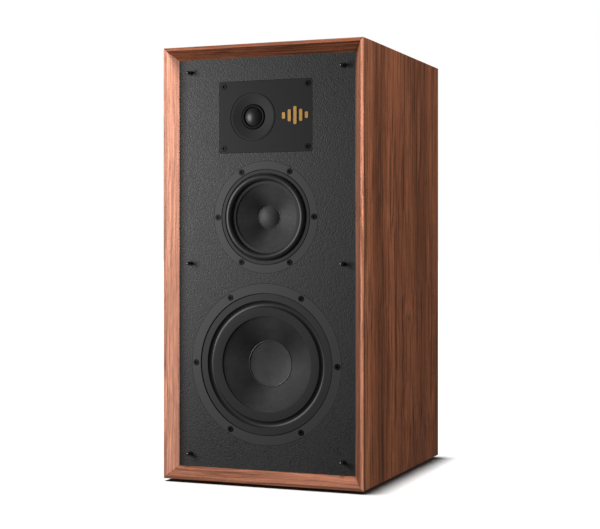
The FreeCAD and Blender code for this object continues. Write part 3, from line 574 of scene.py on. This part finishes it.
# %% A small kit for node groups
def new_group(name, inputs, outputs):
    """An empty group with named sockets, and the nodes that stand for its inputs and outputs."""
    group = bpy.data.node_groups.new(name, "ShaderNodeTree")
    for label, kind, value in inputs:
        socket = group.interface.new_socket(label, in_out="INPUT", socket_type=kind)
        if value is not None:
            socket.default_value = value
    for label, kind in outputs:
        group.interface.new_socket(label, in_out="OUTPUT", socket_type=kind)
    return group, group.nodes.new("NodeGroupInput"), group.nodes.new("NodeGroupOutput")


def put(tree, kind, links=(), **settings):
    """Adds a node, sets its properties and input values, and links its inputs. A setting named in0, in1 and
    so on sets that input socket's value."""
    node = tree.nodes.new(kind)
    for key, value in settings.items():
        if key.startswith("in") and key[2:].isdigit():
            node.inputs[int(key[2:])].default_value = value
        else:
            setattr(node, key, value)
    for socket, source in links:
        tree.links.new(source, node.inputs[socket])
    return node


def maths(tree, operation, a, b=None, c=None):
    """A Math node; a, b and c are numbers or output sockets."""
    node = tree.nodes.new("ShaderNodeMath")
    node.operation = operation
    for i, value in enumerate((a, b, c)):
        if isinstance(value, bpy.types.NodeSocket):
            tree.links.new(value, node.inputs[i])
        elif value is not None:
            node.inputs[i].default_value = value
    return node.outputs[0]


print("node kit ready")

# %% [markdown]
# ### Colours, ramps and noise
# Almost every pattern here is noise that a ramp has sharpened into a mask, and a Mix node then uses the
# mask to blend two colours. Three more helpers say just that, so that each group below reads as a list of
# such steps.

# %% Colours, ramps and noise
def blend_colour(tree, factor, a, b, mode="MIX"):
    """A colour Mix node; each of the three is a value or an output socket."""
    node = tree.nodes.new("ShaderNodeMix")
    node.data_type = "RGBA"
    node.blend_type = mode
    for socket, value in ((0, factor), (6, a), (7, b)):
        if isinstance(value, bpy.types.NodeSocket):
            tree.links.new(value, node.inputs[socket])
        else:
            node.inputs[socket].default_value = value
    return node.outputs[2]


def ramp(tree, source, stops):
    """A colour ramp with two (position, grey) stops, read as a number."""
    node = tree.nodes.new("ShaderNodeValToRGB")
    tree.links.new(source, node.inputs[0])
    for (position, grey), element in zip(stops, node.color_ramp.elements):
        element.position = position
        element.color = (grey, grey, grey, 1)
    return node.outputs[0]


def noise(tree, vector, scale, detail, rough):
    """Cloudy noise; the scale is in lumps to a metre."""
    node = put(tree, "ShaderNodeTexNoise", [("Vector", vector)])
    node.inputs["Scale"].default_value = scale
    node.inputs["Detail"].default_value = detail
    node.inputs["Roughness"].default_value = rough
    return node.outputs["Fac"]


print("colour, ramp and noise helpers ready")

# %% [markdown]
# ### Wood figure
# Walnut is drawn by four things of very different sizes: slow bands of colour a few centimetres apart, thin
# dark growth lines, fine hairs of tone, and pores that look like short scratches along the grain. All four
# are ordinary noise, stretched so that one direction is much longer than the others. Slower noise first
# pushes the coordinates about by up to three centimetres, so that the grain isn't ruled straight. The group
# takes Z as the direction of the grain, and each piece turns its own coordinates to suit.

# %% Wood group
WANDER = 30 * MM
HAIR_RELIEF = 0.3
SMOOTH_WOOD, DULL_PORES = 0.36, 0.15


def wood_group():
    group, given, out = new_group(
        "wood_figure",
        [("Vector", "NodeSocketVector", None),
         ("Light", "NodeSocketColor", (0.4, 0.2, 0.12, 1)),
         ("Middle", "NodeSocketColor", (0.2, 0.1, 0.06, 1)),
         ("Dark", "NodeSocketColor", (0.06, 0.03, 0.02, 1)),
         ("Streaks", "NodeSocketFloat", 1.0), ("Pores", "NodeSocketFloat", 0.5)],
        [("Color", "NodeSocketColor"), ("Height", "NodeSocketFloat"), ("Roughness", "NodeSocketFloat")])
    start = given.outputs["Vector"]
    drift = put(group, "ShaderNodeTexNoise", [("Vector", start)])
    drift.inputs["Scale"].default_value = 2.5
    wander = put(group, "ShaderNodeVectorMath", [(0, drift.outputs["Color"])], operation="SCALE")
    wander.inputs["Scale"].default_value = WANDER
    bent = put(group, "ShaderNodeVectorMath", [(0, start), (1, wander.outputs[0])], operation="ADD")

    def stretched(along):
        """The bent coordinates, squeezed along the grain so that whatever reads them is drawn out."""
        squeezed = put(
            group, "ShaderNodeVectorMath", [(0, bent.outputs[0])], operation="MULTIPLY", in1=(1, 1, along))
        return squeezed.outputs[0]

    clouds = noise(group, stretched(0.05), scale=26, detail=3, rough=0.5)
    bands = ramp(group, clouds, ((0.40, 0), (0.62, 1)))
    fibres = noise(group, stretched(0.014), scale=250, detail=4, rough=0.66)
    lines = ramp(group, fibres, ((0.50, 0), (0.58, 1)))
    hairs = noise(group, stretched(0.02), scale=620, detail=3, rough=0.6)
    dashes = noise(group, stretched(0.045), scale=1500, detail=2, rough=0.5)
    pores = ramp(group, dashes, ((0.56, 0), (0.72, 1)))
    base = blend_colour(group, bands, given.outputs["Light"], given.outputs["Middle"])
    streak = maths(group, "MULTIPLY", lines, given.outputs["Streaks"])
    streaked = blend_colour(group, streak, base, given.outputs["Dark"])
    haired = blend_colour(group, 1.0, streaked, maths(group, "MULTIPLY", hairs, 2.0), "MULTIPLY")
    pore = maths(group, "MULTIPLY", pores, given.outputs["Pores"])
    finished = blend_colour(group, pore, haired, given.outputs["Dark"])
    group.links.new(finished, out.inputs["Color"])
    height = maths(group, "SUBTRACT", maths(group, "MULTIPLY", hairs, HAIR_RELIEF), pore)
    group.links.new(height, out.inputs["Height"])
    roughness = maths(group, "MULTIPLY_ADD", pores, DULL_PORES, SMOOTH_WOOD)
    group.links.new(roughness, out.inputs["Roughness"])
    return group


wood_figure = wood_group()
print("group:", wood_figure.name, len(wood_figure.nodes), "nodes")

# %% [markdown]
# ### Weave
# The cones are pressed from a plain-woven cloth, and the press leaves the threads running straight up and
# across. A plain weave is a chessboard: on one colour the upright thread is on top, on the other the crossing
# one. The board comes from rounding both coordinates down and adding them, and a sine across each thread
# makes it round. A last output marks four wedges round the driver's axis, along the threads and not between
# them, because cloth shines most across its threads; the cones use it to paint that shine into their colour
# as a painted sheen.

# %% Weave group
def weave_group():
    group, given, out = new_group(
        "plain_weave",
        [("Vector", "NodeSocketVector", None), ("Threads", "NodeSocketFloat", 400.0)],
        [("Height", "NodeSocketFloat"), ("Crossing", "NodeSocketFloat"), ("Variation", "NodeSocketFloat"),
         ("Wedges", "NodeSocketFloat")])
    split = put(group, "ShaderNodeSeparateXYZ", [(0, given.outputs["Vector"])])
    rounds = []
    cells = []
    for axis in (0, 2):
        count = maths(group, "MULTIPLY", split.outputs[axis], given.outputs["Threads"])
        cells.append(maths(group, "FLOOR", count))
        rounds.append(maths(group, "SINE", maths(group, "MULTIPLY", maths(group, "FRACT", count), math.pi)))
    board = maths(group, "MODULO", maths(group, "ABSOLUTE", maths(group, "ADD", *cells)), 2)
    over = put(group, "ShaderNodeMix", [(0, board), (2, rounds[0]), (3, rounds[1])])
    group.links.new(over.outputs[0], out.inputs["Height"])
    group.links.new(board, out.inputs["Crossing"])
    uneven = noise(group, given.outputs["Vector"], scale=60, detail=4, rough=0.6)
    group.links.new(uneven, out.inputs["Variation"])
    squares = [maths(group, "MULTIPLY", split.outputs[axis], split.outputs[axis]) for axis in (0, 2)]
    along = maths(group, "DIVIDE", maths(group, "SUBTRACT", *squares), maths(group, "ADD", *squares))
    group.links.new(maths(group, "MULTIPLY", along, along), out.inputs["Wedges"])
    return group


plain_weave = weave_group()
print("group:", plain_weave.name, len(plain_weave.nodes), "nodes")

# %% [markdown]
# ### Mottle
# No moulded or painted surface is perfectly even. A little slow variation of tone and gloss, with a finer
# grain on top, is what tells plastic from a plain grey. The group gives both, and a height for the finest
# texture.

# %% Mottle group
SLOW_SHARE = 0.25
GLOSS_SHARE = 0.4


def mottle_group():
    group, given, out = new_group(
        "mottle",
        [("Vector", "NodeSocketVector", None), ("Color", "NodeSocketColor", (0.05, 0.05, 0.05, 1)),
         ("Amount", "NodeSocketFloat", 0.2), ("Grain", "NodeSocketFloat", 900.0),
         ("Roughness", "NodeSocketFloat", 0.5)],
        [("Color", "NodeSocketColor"), ("Roughness", "NodeSocketFloat"), ("Height", "NodeSocketFloat")])
    vector = given.outputs["Vector"]
    slow = noise(group, vector, scale=22, detail=4, rough=0.6)
    fine = put(group, "ShaderNodeTexNoise", [("Vector", vector), ("Scale", given.outputs["Grain"])])
    fine.inputs["Detail"].default_value = 2.0
    drift = maths(group, "MULTIPLY", maths(group, "SUBTRACT", slow, 0.5), SLOW_SHARE)
    shade = maths(group, "ADD", drift, maths(group, "SUBTRACT", fine.outputs[0], 0.5))
    swing = maths(group, "MULTIPLY", shade, given.outputs["Amount"])
    level = maths(group, "ADD", swing, 1.0)
    tone = blend_colour(group, 1.0, given.outputs["Color"], level, "MULTIPLY")
    group.links.new(tone, out.inputs["Color"])
    dull = maths(group, "MULTIPLY_ADD", swing, GLOSS_SHARE, given.outputs["Roughness"])
    group.links.new(dull, out.inputs["Roughness"])
    group.links.new(fine.outputs[0], out.inputs["Height"])
    return group


mottle = mottle_group()
print("group:", mottle.name, len(mottle.nodes), "nodes")

# %% [markdown]
# ## Finishes
# Every finish starts the same way: a Principled shader, and the object's own coordinates, turned if the
# pattern has a direction.

# %% Starting a finish
def new_finish(name, turn=(0, 0, 0), shift=(0, 0, 0)):
    """A new material, its nodes, its shader and its coordinates."""
    finish = bpy.data.materials.new(name)
    finish.use_nodes = True
    tree = finish.node_tree
    coordinates = tree.nodes.new("ShaderNodeTexCoord")
    mapping = put(tree, "ShaderNodeMapping", [("Vector", coordinates.outputs["Object"])])
    mapping.inputs["Rotation"].default_value = turn
    mapping.inputs["Location"].default_value = shift
    return finish, tree, tree.nodes["Principled BSDF"], mapping.outputs[0]


def group_in(tree, group, vector, **values):
    """Places a shared group in a material, with this material's own values."""
    node = tree.nodes.new("ShaderNodeGroup")
    node.node_tree = group
    tree.links.new(vector, node.inputs["Vector"])
    for key, value in values.items():
        node.inputs[key].default_value = value
    return node


def bump(tree, shader, height, distance, strength=1.0):
    """Distance is the real depth of the texture, in metres."""
    node = put(tree, "ShaderNodeBump", [("Height", height)])
    node.inputs["Distance"].default_value = distance
    node.inputs["Strength"].default_value = strength
    tree.links.new(node.outputs[0], shader.inputs["Normal"])


def rgb(red, green, blue):
    return (red, green, blue, 1)


print("finish helpers ready")

# %% [markdown]
# ### Walnut
# The cabinet is veneered with walnut whose grain runs upright on the sides and front to back on the top.
# The front frame is four solid lippings of a straighter, lighter wood, each with its grain along its own
# length, which is why the mitres at the corners show as lines. Each kind of walnut is one tint, from which
# its light, middle and dark tones are worked out. The four lippings are one wood, yet each has its own tint,
# which paints in the light its face gets: the top and bottom ones are darker as painted shade, and the left
# one is paler and whiter as a painted sheen.

# %% Walnut finish
PORE_DEPTH = 0.00012


def walnut(name, turn, shift, light, middle, dark, streaks, pores, specular):
    finish, tree, shader, vector = new_finish(name, turn, shift)
    wood = group_in(
        tree, wood_figure, vector, Light=light, Middle=middle, Dark=dark, Streaks=streaks, Pores=pores)
    tree.links.new(wood.outputs["Color"], shader.inputs["Base Color"])
    tree.links.new(wood.outputs["Roughness"], shader.inputs["Roughness"])
    shader.inputs["Specular IOR Level"].default_value = specular
    bump(tree, shader, wood.outputs["Height"], PORE_DEPTH, 0.6)
    return finish


def walnut_tones(tint, streaks, pores, specular=0.05, shares=(1.40, 0.78, 0.24)):
    """Light, middle and dark tones from one tint, with how strong the streaks and pores are."""
    light, middle_tone, dark = [rgb(*[channel * share for channel in tint]) for share in shares]
    return light, middle_tone, dark, streaks, pores, specular


VENEER = walnut_tones((0.150, 0.051, 0.0232), 0.8, 0.8)
# A paler copy of the side veneer: painted light on the front edges of the sides.
EDGE_VENEER_LIT = walnut_tones((0.182, 0.068, 0.033), 0.7, 0.8)
# The four lippings are lit and shaded copies of one wood: darker top and bottom tints are painted shade, the
# paler, whiter left tint is a painted sheen.
LEFT_LIPPING_WITH_SHEEN = walnut_tones((0.385, 0.176, 0.117), 0.5, 0.7, 0.20, (1.25, 0.95, 0.40))
RIGHT_LIPPING_LIT = walnut_tones((0.43, 0.175, 0.104), 0.6, 0.7, 0.08, (1.25, 0.85, 0.35))
TOP_LIPPING_SHADED = walnut_tones((0.25, 0.084, 0.042), 0.7, 0.7, 0.20)
BOTTOM_LIPPING_SHADED = walnut_tones((0.195, 0.074, 0.042), 0.6, 0.7, 0.20)
print("veneer's light tone:", [round(channel, 3) for channel in VENEER[0]])

# %% [markdown]
# ### Which way the grain runs
# The figure is drawn along Z, so each board turns its own coordinates to lay it upright, across or front to
# back. A different shift for each board cuts it from another part of the tree.

# %% Walnut on each board
UPRIGHT = (0, 0, 0)
ACROSS = (0, math.pi / 2, 0)
BACKWARD = (math.pi / 2, 0, 0)


def dress(node, finish):
    """Gives one part its finish: the piece that stands for it, or the frame's own part."""
    slots = made.get(node, nodes.get(node)).data.materials
    slots.clear()
    slots.append(finish)


wooden = {
    "side_panel_left": (UPRIGHT, (3.1, 0, 0), VENEER),
    "side_panel_right": (UPRIGHT, (0, 0.3, 0), VENEER),
    "top_panel": (BACKWARD, (0, 0, 1.7), VENEER),
    "bottom_panel": (BACKWARD, (0, 0, 5.2), VENEER),
    "back_panel": (UPRIGHT, (7.3, 0, 0), VENEER),
    "front_lipping_left": (UPRIGHT, (1.3, 0, 0), LEFT_LIPPING_WITH_SHEEN),
    "front_lipping_right": (UPRIGHT, (2.2, 0, 0), RIGHT_LIPPING_LIT),
    "front_lipping_top": (ACROSS, (0, 0, 4.1), TOP_LIPPING_SHADED),
    "front_lipping_bottom": (ACROSS, (0, 0, 8.6), BOTTOM_LIPPING_SHADED)}
for node, (turn, shift, tones) in wooden.items():
    dress(node, walnut("walnut_" + node, turn, shift, *tones))
print("walnut on", len(wooden), "parts")

# %% [markdown]
# ### Veneer over the lippings
# The veneer runs on over the outer face of each lipping, so the solid wood shows only from the front. Those
# faces get a second material. At the sides it is a paler copy of the same veneer, which paints in more light
# on the front edges of the sides, and above and below it is the panel's own. A face counts as an outer one if
# it points nearly straight out.

# %% Veneer over the lippings
FACING = 0.9


def veneer_over(lipping, veneer, outward):
    piece = made[lipping]
    piece.data.materials.append(veneer)
    for face in piece.data.polygons:
        if face.normal.dot(Vector(outward)) > FACING:
            face.material_index = 1


lit_edge_veneer = walnut("walnut_edge_lit", UPRIGHT, (0.4, 0.3, 0), *EDGE_VENEER_LIT)
veneer_over("front_lipping_left", lit_edge_veneer, (-1, 0, 0))
veneer_over("front_lipping_right", lit_edge_veneer, (1, 0, 0))
veneer_over("front_lipping_top", made["top_panel"].data.materials[0], (0, 0, 1))
veneer_over("front_lipping_bottom", made["bottom_panel"].data.materials[0], (0, 0, -1))
print("veneer over", len(lippings), "lippings")

# %% [markdown]
# ### Plain finishes
# Moulded, painted and rubber parts differ mainly in tone, gloss and the size of their grain, so one
# function makes them all from a short recipe. The grain is in grains to a metre and its depth in metres.
# The amount is how far the tone wanders.

# %% Plain finishes
def plain_finish(name, colour, roughness, grain, depth, amount, metal=0.0, specular=0.5):
    finish, tree, shader, vector = new_finish(name)
    surface = group_in(
        tree, mottle, vector, Color=rgb(*colour), Roughness=roughness, Grain=grain, Amount=amount)
    tree.links.new(surface.outputs["Color"], shader.inputs["Base Color"])
    tree.links.new(surface.outputs["Roughness"], shader.inputs["Roughness"])
    shader.inputs["Metallic"].default_value = metal
    shader.inputs["Specular IOR Level"].default_value = specular
    bump(tree, shader, surface.outputs["Height"], depth)
    return finish


finishes = {}
print("plain finishes come from", mottle.name)

# %% [markdown]
# ### Outside parts
# The front board is wrapped in a pebbled black vinyl, with the deepest grain of these. The drivers' frames,
# the tweeter's plate and the terminal cup are smoother, and the pegs are glossy. Only the emblem, the brass
# posts and the red knob have a colour.

# %% Outside finishes
outside = {
    "black_vinyl": dict(
        colour=(0.030, 0.030, 0.031), roughness=0.55, grain=620, depth=0.0006, amount=2.0, specular=0.4),
    "basket_paint": dict(
        colour=(0.049, 0.049, 0.050), roughness=0.55, grain=1600, depth=0.00005, amount=0.25, specular=0.36),
    "tweeter_plate": dict(
        colour=(0.022, 0.022, 0.023), roughness=0.6, grain=1800, depth=0.00003, amount=0.2, specular=0.18),
    "ring_rubber": dict(
        colour=(0.029, 0.029, 0.030), roughness=0.55, grain=1500, depth=0.00004, amount=0.3, specular=0.30),
    "surround_rubber": dict(
        colour=(0.021, 0.021, 0.021), roughness=0.42, grain=1200, depth=0.00002, amount=0.35, specular=0.36),
    "glue": dict(
        colour=(0.05, 0.05, 0.05), roughness=0.3, grain=1200, depth=0.00002, amount=0.35),
    "peg_plastic": dict(
        colour=(0.016, 0.016, 0.016), roughness=0.2, grain=900, depth=0.00001, amount=0.1, specular=1.0),
    "black_screw": dict(
        colour=(0.003, 0.003, 0.003), roughness=0.4, grain=1400, depth=0.00002, amount=0.3, specular=0.22),
    "cup_plastic": dict(
        colour=(0.018, 0.018, 0.019), roughness=0.42, grain=1400, depth=0.00005, amount=0.2),
    "port_plastic": dict(
        colour=(0.016, 0.016, 0.017), roughness=0.48, grain=1400, depth=0.00005, amount=0.2),
    "foot_rubber": dict(
        colour=(0.012, 0.012, 0.012), roughness=0.7, grain=1000, depth=0.00006, amount=0.3),
    # The roll's fabric is the dome's fabric made much darker, as painted shade in the gap round the dome.
    "roll_fabric": dict(
        colour=(0.006, 0.006, 0.006), roughness=0.6, grain=2600, depth=0.00005, amount=0.3, specular=0.15),
    "dome_fabric": dict(
        colour=(0.018, 0.018, 0.018), roughness=0.42, grain=2600, depth=0.00005, amount=0.3),
    "gold_trim": dict(
        colour=(0.80, 0.46, 0.15), roughness=0.34, grain=1800, depth=0.00002, amount=0.15, metal=0.85),
    "post_metal": dict(
        colour=(0.86, 0.60, 0.22), roughness=0.24, grain=1500, depth=0.00002, amount=0.1, metal=1.0),
    "collar_plastic": dict(
        colour=(0.05, 0.05, 0.05), roughness=0.2, grain=900, depth=0.00001, amount=0.1),
    "knob_red": dict(
        colour=(0.38, 0.012, 0.010), roughness=0.22, grain=900, depth=0.00001, amount=0.1),
    "knob_black": dict(
        colour=(0.014, 0.014, 0.014), roughness=0.22, grain=900, depth=0.00001, amount=0.1)}
for name, recipe in outside.items():
    finishes[name] = plain_finish(name, **recipe)
print("outside finishes:", len(outside))

# %% [markdown]
# ### Inside parts
# The parts inside the case have their own materials: raw board, wadding, steel and ferrite motors, copper
# coils, and the crossover's parts.

# %% Inside finishes
inside = {
    "chamber_board": dict(
        colour=(0.04, 0.04, 0.04), roughness=0.6, grain=800, depth=0.0001, amount=0.3),
    "board": dict(
        colour=(0.42, 0.30, 0.19), roughness=0.8, grain=1300, depth=0.0001, amount=0.45),
    "wadding": dict(
        colour=(0.78, 0.77, 0.74), roughness=0.95, grain=700, depth=0.0008, amount=0.25),
    "coil_copper": dict(
        colour=(0.70, 0.28, 0.13), roughness=0.3, grain=1500, depth=0.00006, amount=0.3, metal=1.0),
    "motor_steel": dict(
        colour=(0.56, 0.57, 0.58), roughness=0.38, grain=1200, depth=0.00003, amount=0.2, metal=1.0),
    "ferrite": dict(
        colour=(0.045, 0.045, 0.048), roughness=0.5, grain=1000, depth=0.00006, amount=0.3),
    "spider_cloth": dict(
        colour=(0.52, 0.36, 0.12), roughness=0.85, grain=1600, depth=0.0002, amount=0.4),
    "circuit_board": dict(
        colour=(0.02, 0.13, 0.05), roughness=0.35, grain=600, depth=0.00003, amount=0.4),
    "capacitor_film": dict(
        colour=(0.42, 0.05, 0.03), roughness=0.28, grain=700, depth=0.00003, amount=0.2),
    "resistor_cement": dict(
        colour=(0.70, 0.68, 0.62), roughness=0.85, grain=900, depth=0.0001, amount=0.2),
    "wire_jacket": dict(
        colour=(0.02, 0.02, 0.02), roughness=0.5, grain=900, depth=0.00004, amount=0.2)}
for name, recipe in inside.items():
    finishes[name] = plain_finish(name, **recipe)
print("inside finishes:", len(inside))

# %% [markdown]
# ### Woven cones
# The cloth is black, but each thread catches a small highlight where it rises, so the cone shimmers in light
# and dark squares. That shimmer is painted into the colour: the two thread directions get slightly different
# tones, one of them lighter as a painted highlight, the grooves between threads are darkened as painted
# shade, and the bump comes from the thread's round height. On the cone the wedges of the weave group add a
# cross-shaped painted sheen to the colour, so its pattern is first centred on the driver's axis.

# %% Woven finishes
CLOTH_SPECULAR = 0.22


def woven(name, driver, colour, lift, threads, roughness, wedges, depth):
    x, z = drivers[driver]["centre"]
    finish, tree, shader, vector = new_finish(name, shift=(-x, 0, -z))
    cloth = group_in(tree, plain_weave, vector, Threads=threads)
    # Painted highlight: one thread direction gets a lighter colour.
    light = [channel * lift for channel in colour]
    crossing_highlight = blend_colour(tree, cloth.outputs["Crossing"], rgb(*colour), rgb(*light))
    # Painted shade: the grooves between the threads are darkened in the colour.
    gap = ramp(tree, cloth.outputs["Height"], ((0.05, 0.35), (0.6, 1.0)))
    groove_shaded = blend_colour(tree, 1.0, crossing_highlight, gap, "MULTIPLY")
    patchy = ramp(tree, cloth.outputs["Variation"], ((0.25, 0.7), (0.75, 1.2)))
    mottled = blend_colour(tree, 1.0, groove_shaded, patchy, "MULTIPLY")
    # Painted sheen: the colour is lightened in four wedges along the threads.
    painted_sheen = maths(tree, "MULTIPLY_ADD", cloth.outputs["Wedges"], wedges, 1.0)
    tree.links.new(blend_colour(tree, 1.0, mottled, painted_sheen, "MULTIPLY"), shader.inputs["Base Color"])
    shader.inputs["Roughness"].default_value = roughness
    shader.inputs["Specular IOR Level"].default_value = CLOTH_SPECULAR
    bump(tree, shader, cloth.outputs["Height"], depth, 0.8)
    return finish


cone_cloth = dict(
    colour=(0.014, 0.014, 0.014), lift=1.7, threads=600, roughness=0.5, wedges=1.3, depth=0.00014)
cap_cloth = dict(
    colour=(0.052, 0.052, 0.053), lift=1.5, threads=800, roughness=0.46, wedges=0.0, depth=0.0001)
for name in drivers:
    finishes[name + "_cone"] = woven(name + "_cone_cloth", name, **cone_cloth)
    finishes[name + "_cap"] = woven(name + "_cap_cloth", name, **cap_cloth)
print("all finishes:", len(finishes))

# %% [markdown]
# ## Dressing every part
# The record gives each part a slot, whose name is also that of its finish, so one loop dresses almost all
# of them. The wooden ones have theirs already. The cones, the caps and their beads of glue, and the
# tweeter's fabric roll come after the loop, because they need a finish of their own.

# %% Dress every part
for node, slot in slot_of.items():
    if node not in wooden and not slot.startswith("woven"):
        dress(node, finishes[slot])
for name in drivers:
    dress(name + "_cone", finishes[name + "_cone"])
    dress(name + "_dust_cap", finishes[name + "_cap"])
    dress(name + "_bead", finishes["glue"])
dress("tweeter_surround", finishes["roll_fabric"])
print("dressed", len(slot_of), "parts")

# %% [markdown]
# ## Which light reaches what
# In the studio, cards and flags keep the left light off the wood and the right one off the black parts, so
# that the wood keeps its warm, one-sided modelling while the black drivers still mirror something. Light
# linking does the work of those flags: each light lists what it reaches. The lid would flare in the steep
# lights that the walls need, so it has its own. The left side is turned away from the key, so it has one
# too. Only the fill from behind reaches every part, and only the sun reaches the floor.

# %% Link the lights
def reach_only(lamp, pieces):
    lit = bpy.data.collections.new(lamp.name + "_reach")
    for piece in pieces:
        lit.objects.link(piece)
    lamp.light_linking.receiver_collection = lit


meshes = [piece for piece in bpy.context.scene.objects if piece.type == "MESH"]
wood_pieces = [made[node] for node in wooden]
other_pieces = [piece for piece in meshes if piece not in wood_pieces + [floor]]
lid, lid_edge = made["top_panel"], made["front_lipping_top"]
walls = [piece for piece in wood_pieces if piece not in (lid, lid_edge)]
reach_only(floor_light, [floor])
for lamp in (wood_key, wood_sheen, wood_bounce):
    reach_only(lamp, walls + [lid_edge])
for lamp in (wood_top, wood_side):
    reach_only(lamp, walls)
reach_only(wood_lid, [lid, lid_edge])
reach_only(left_fill, [made["side_panel_left"], made["front_lipping_left"]])
reach_only(black_key, other_pieces)
reach_only(rear_fill, wood_pieces + other_pieces)
print("linked:", len(wood_pieces), "wooden and", len(other_pieces), "other pieces")
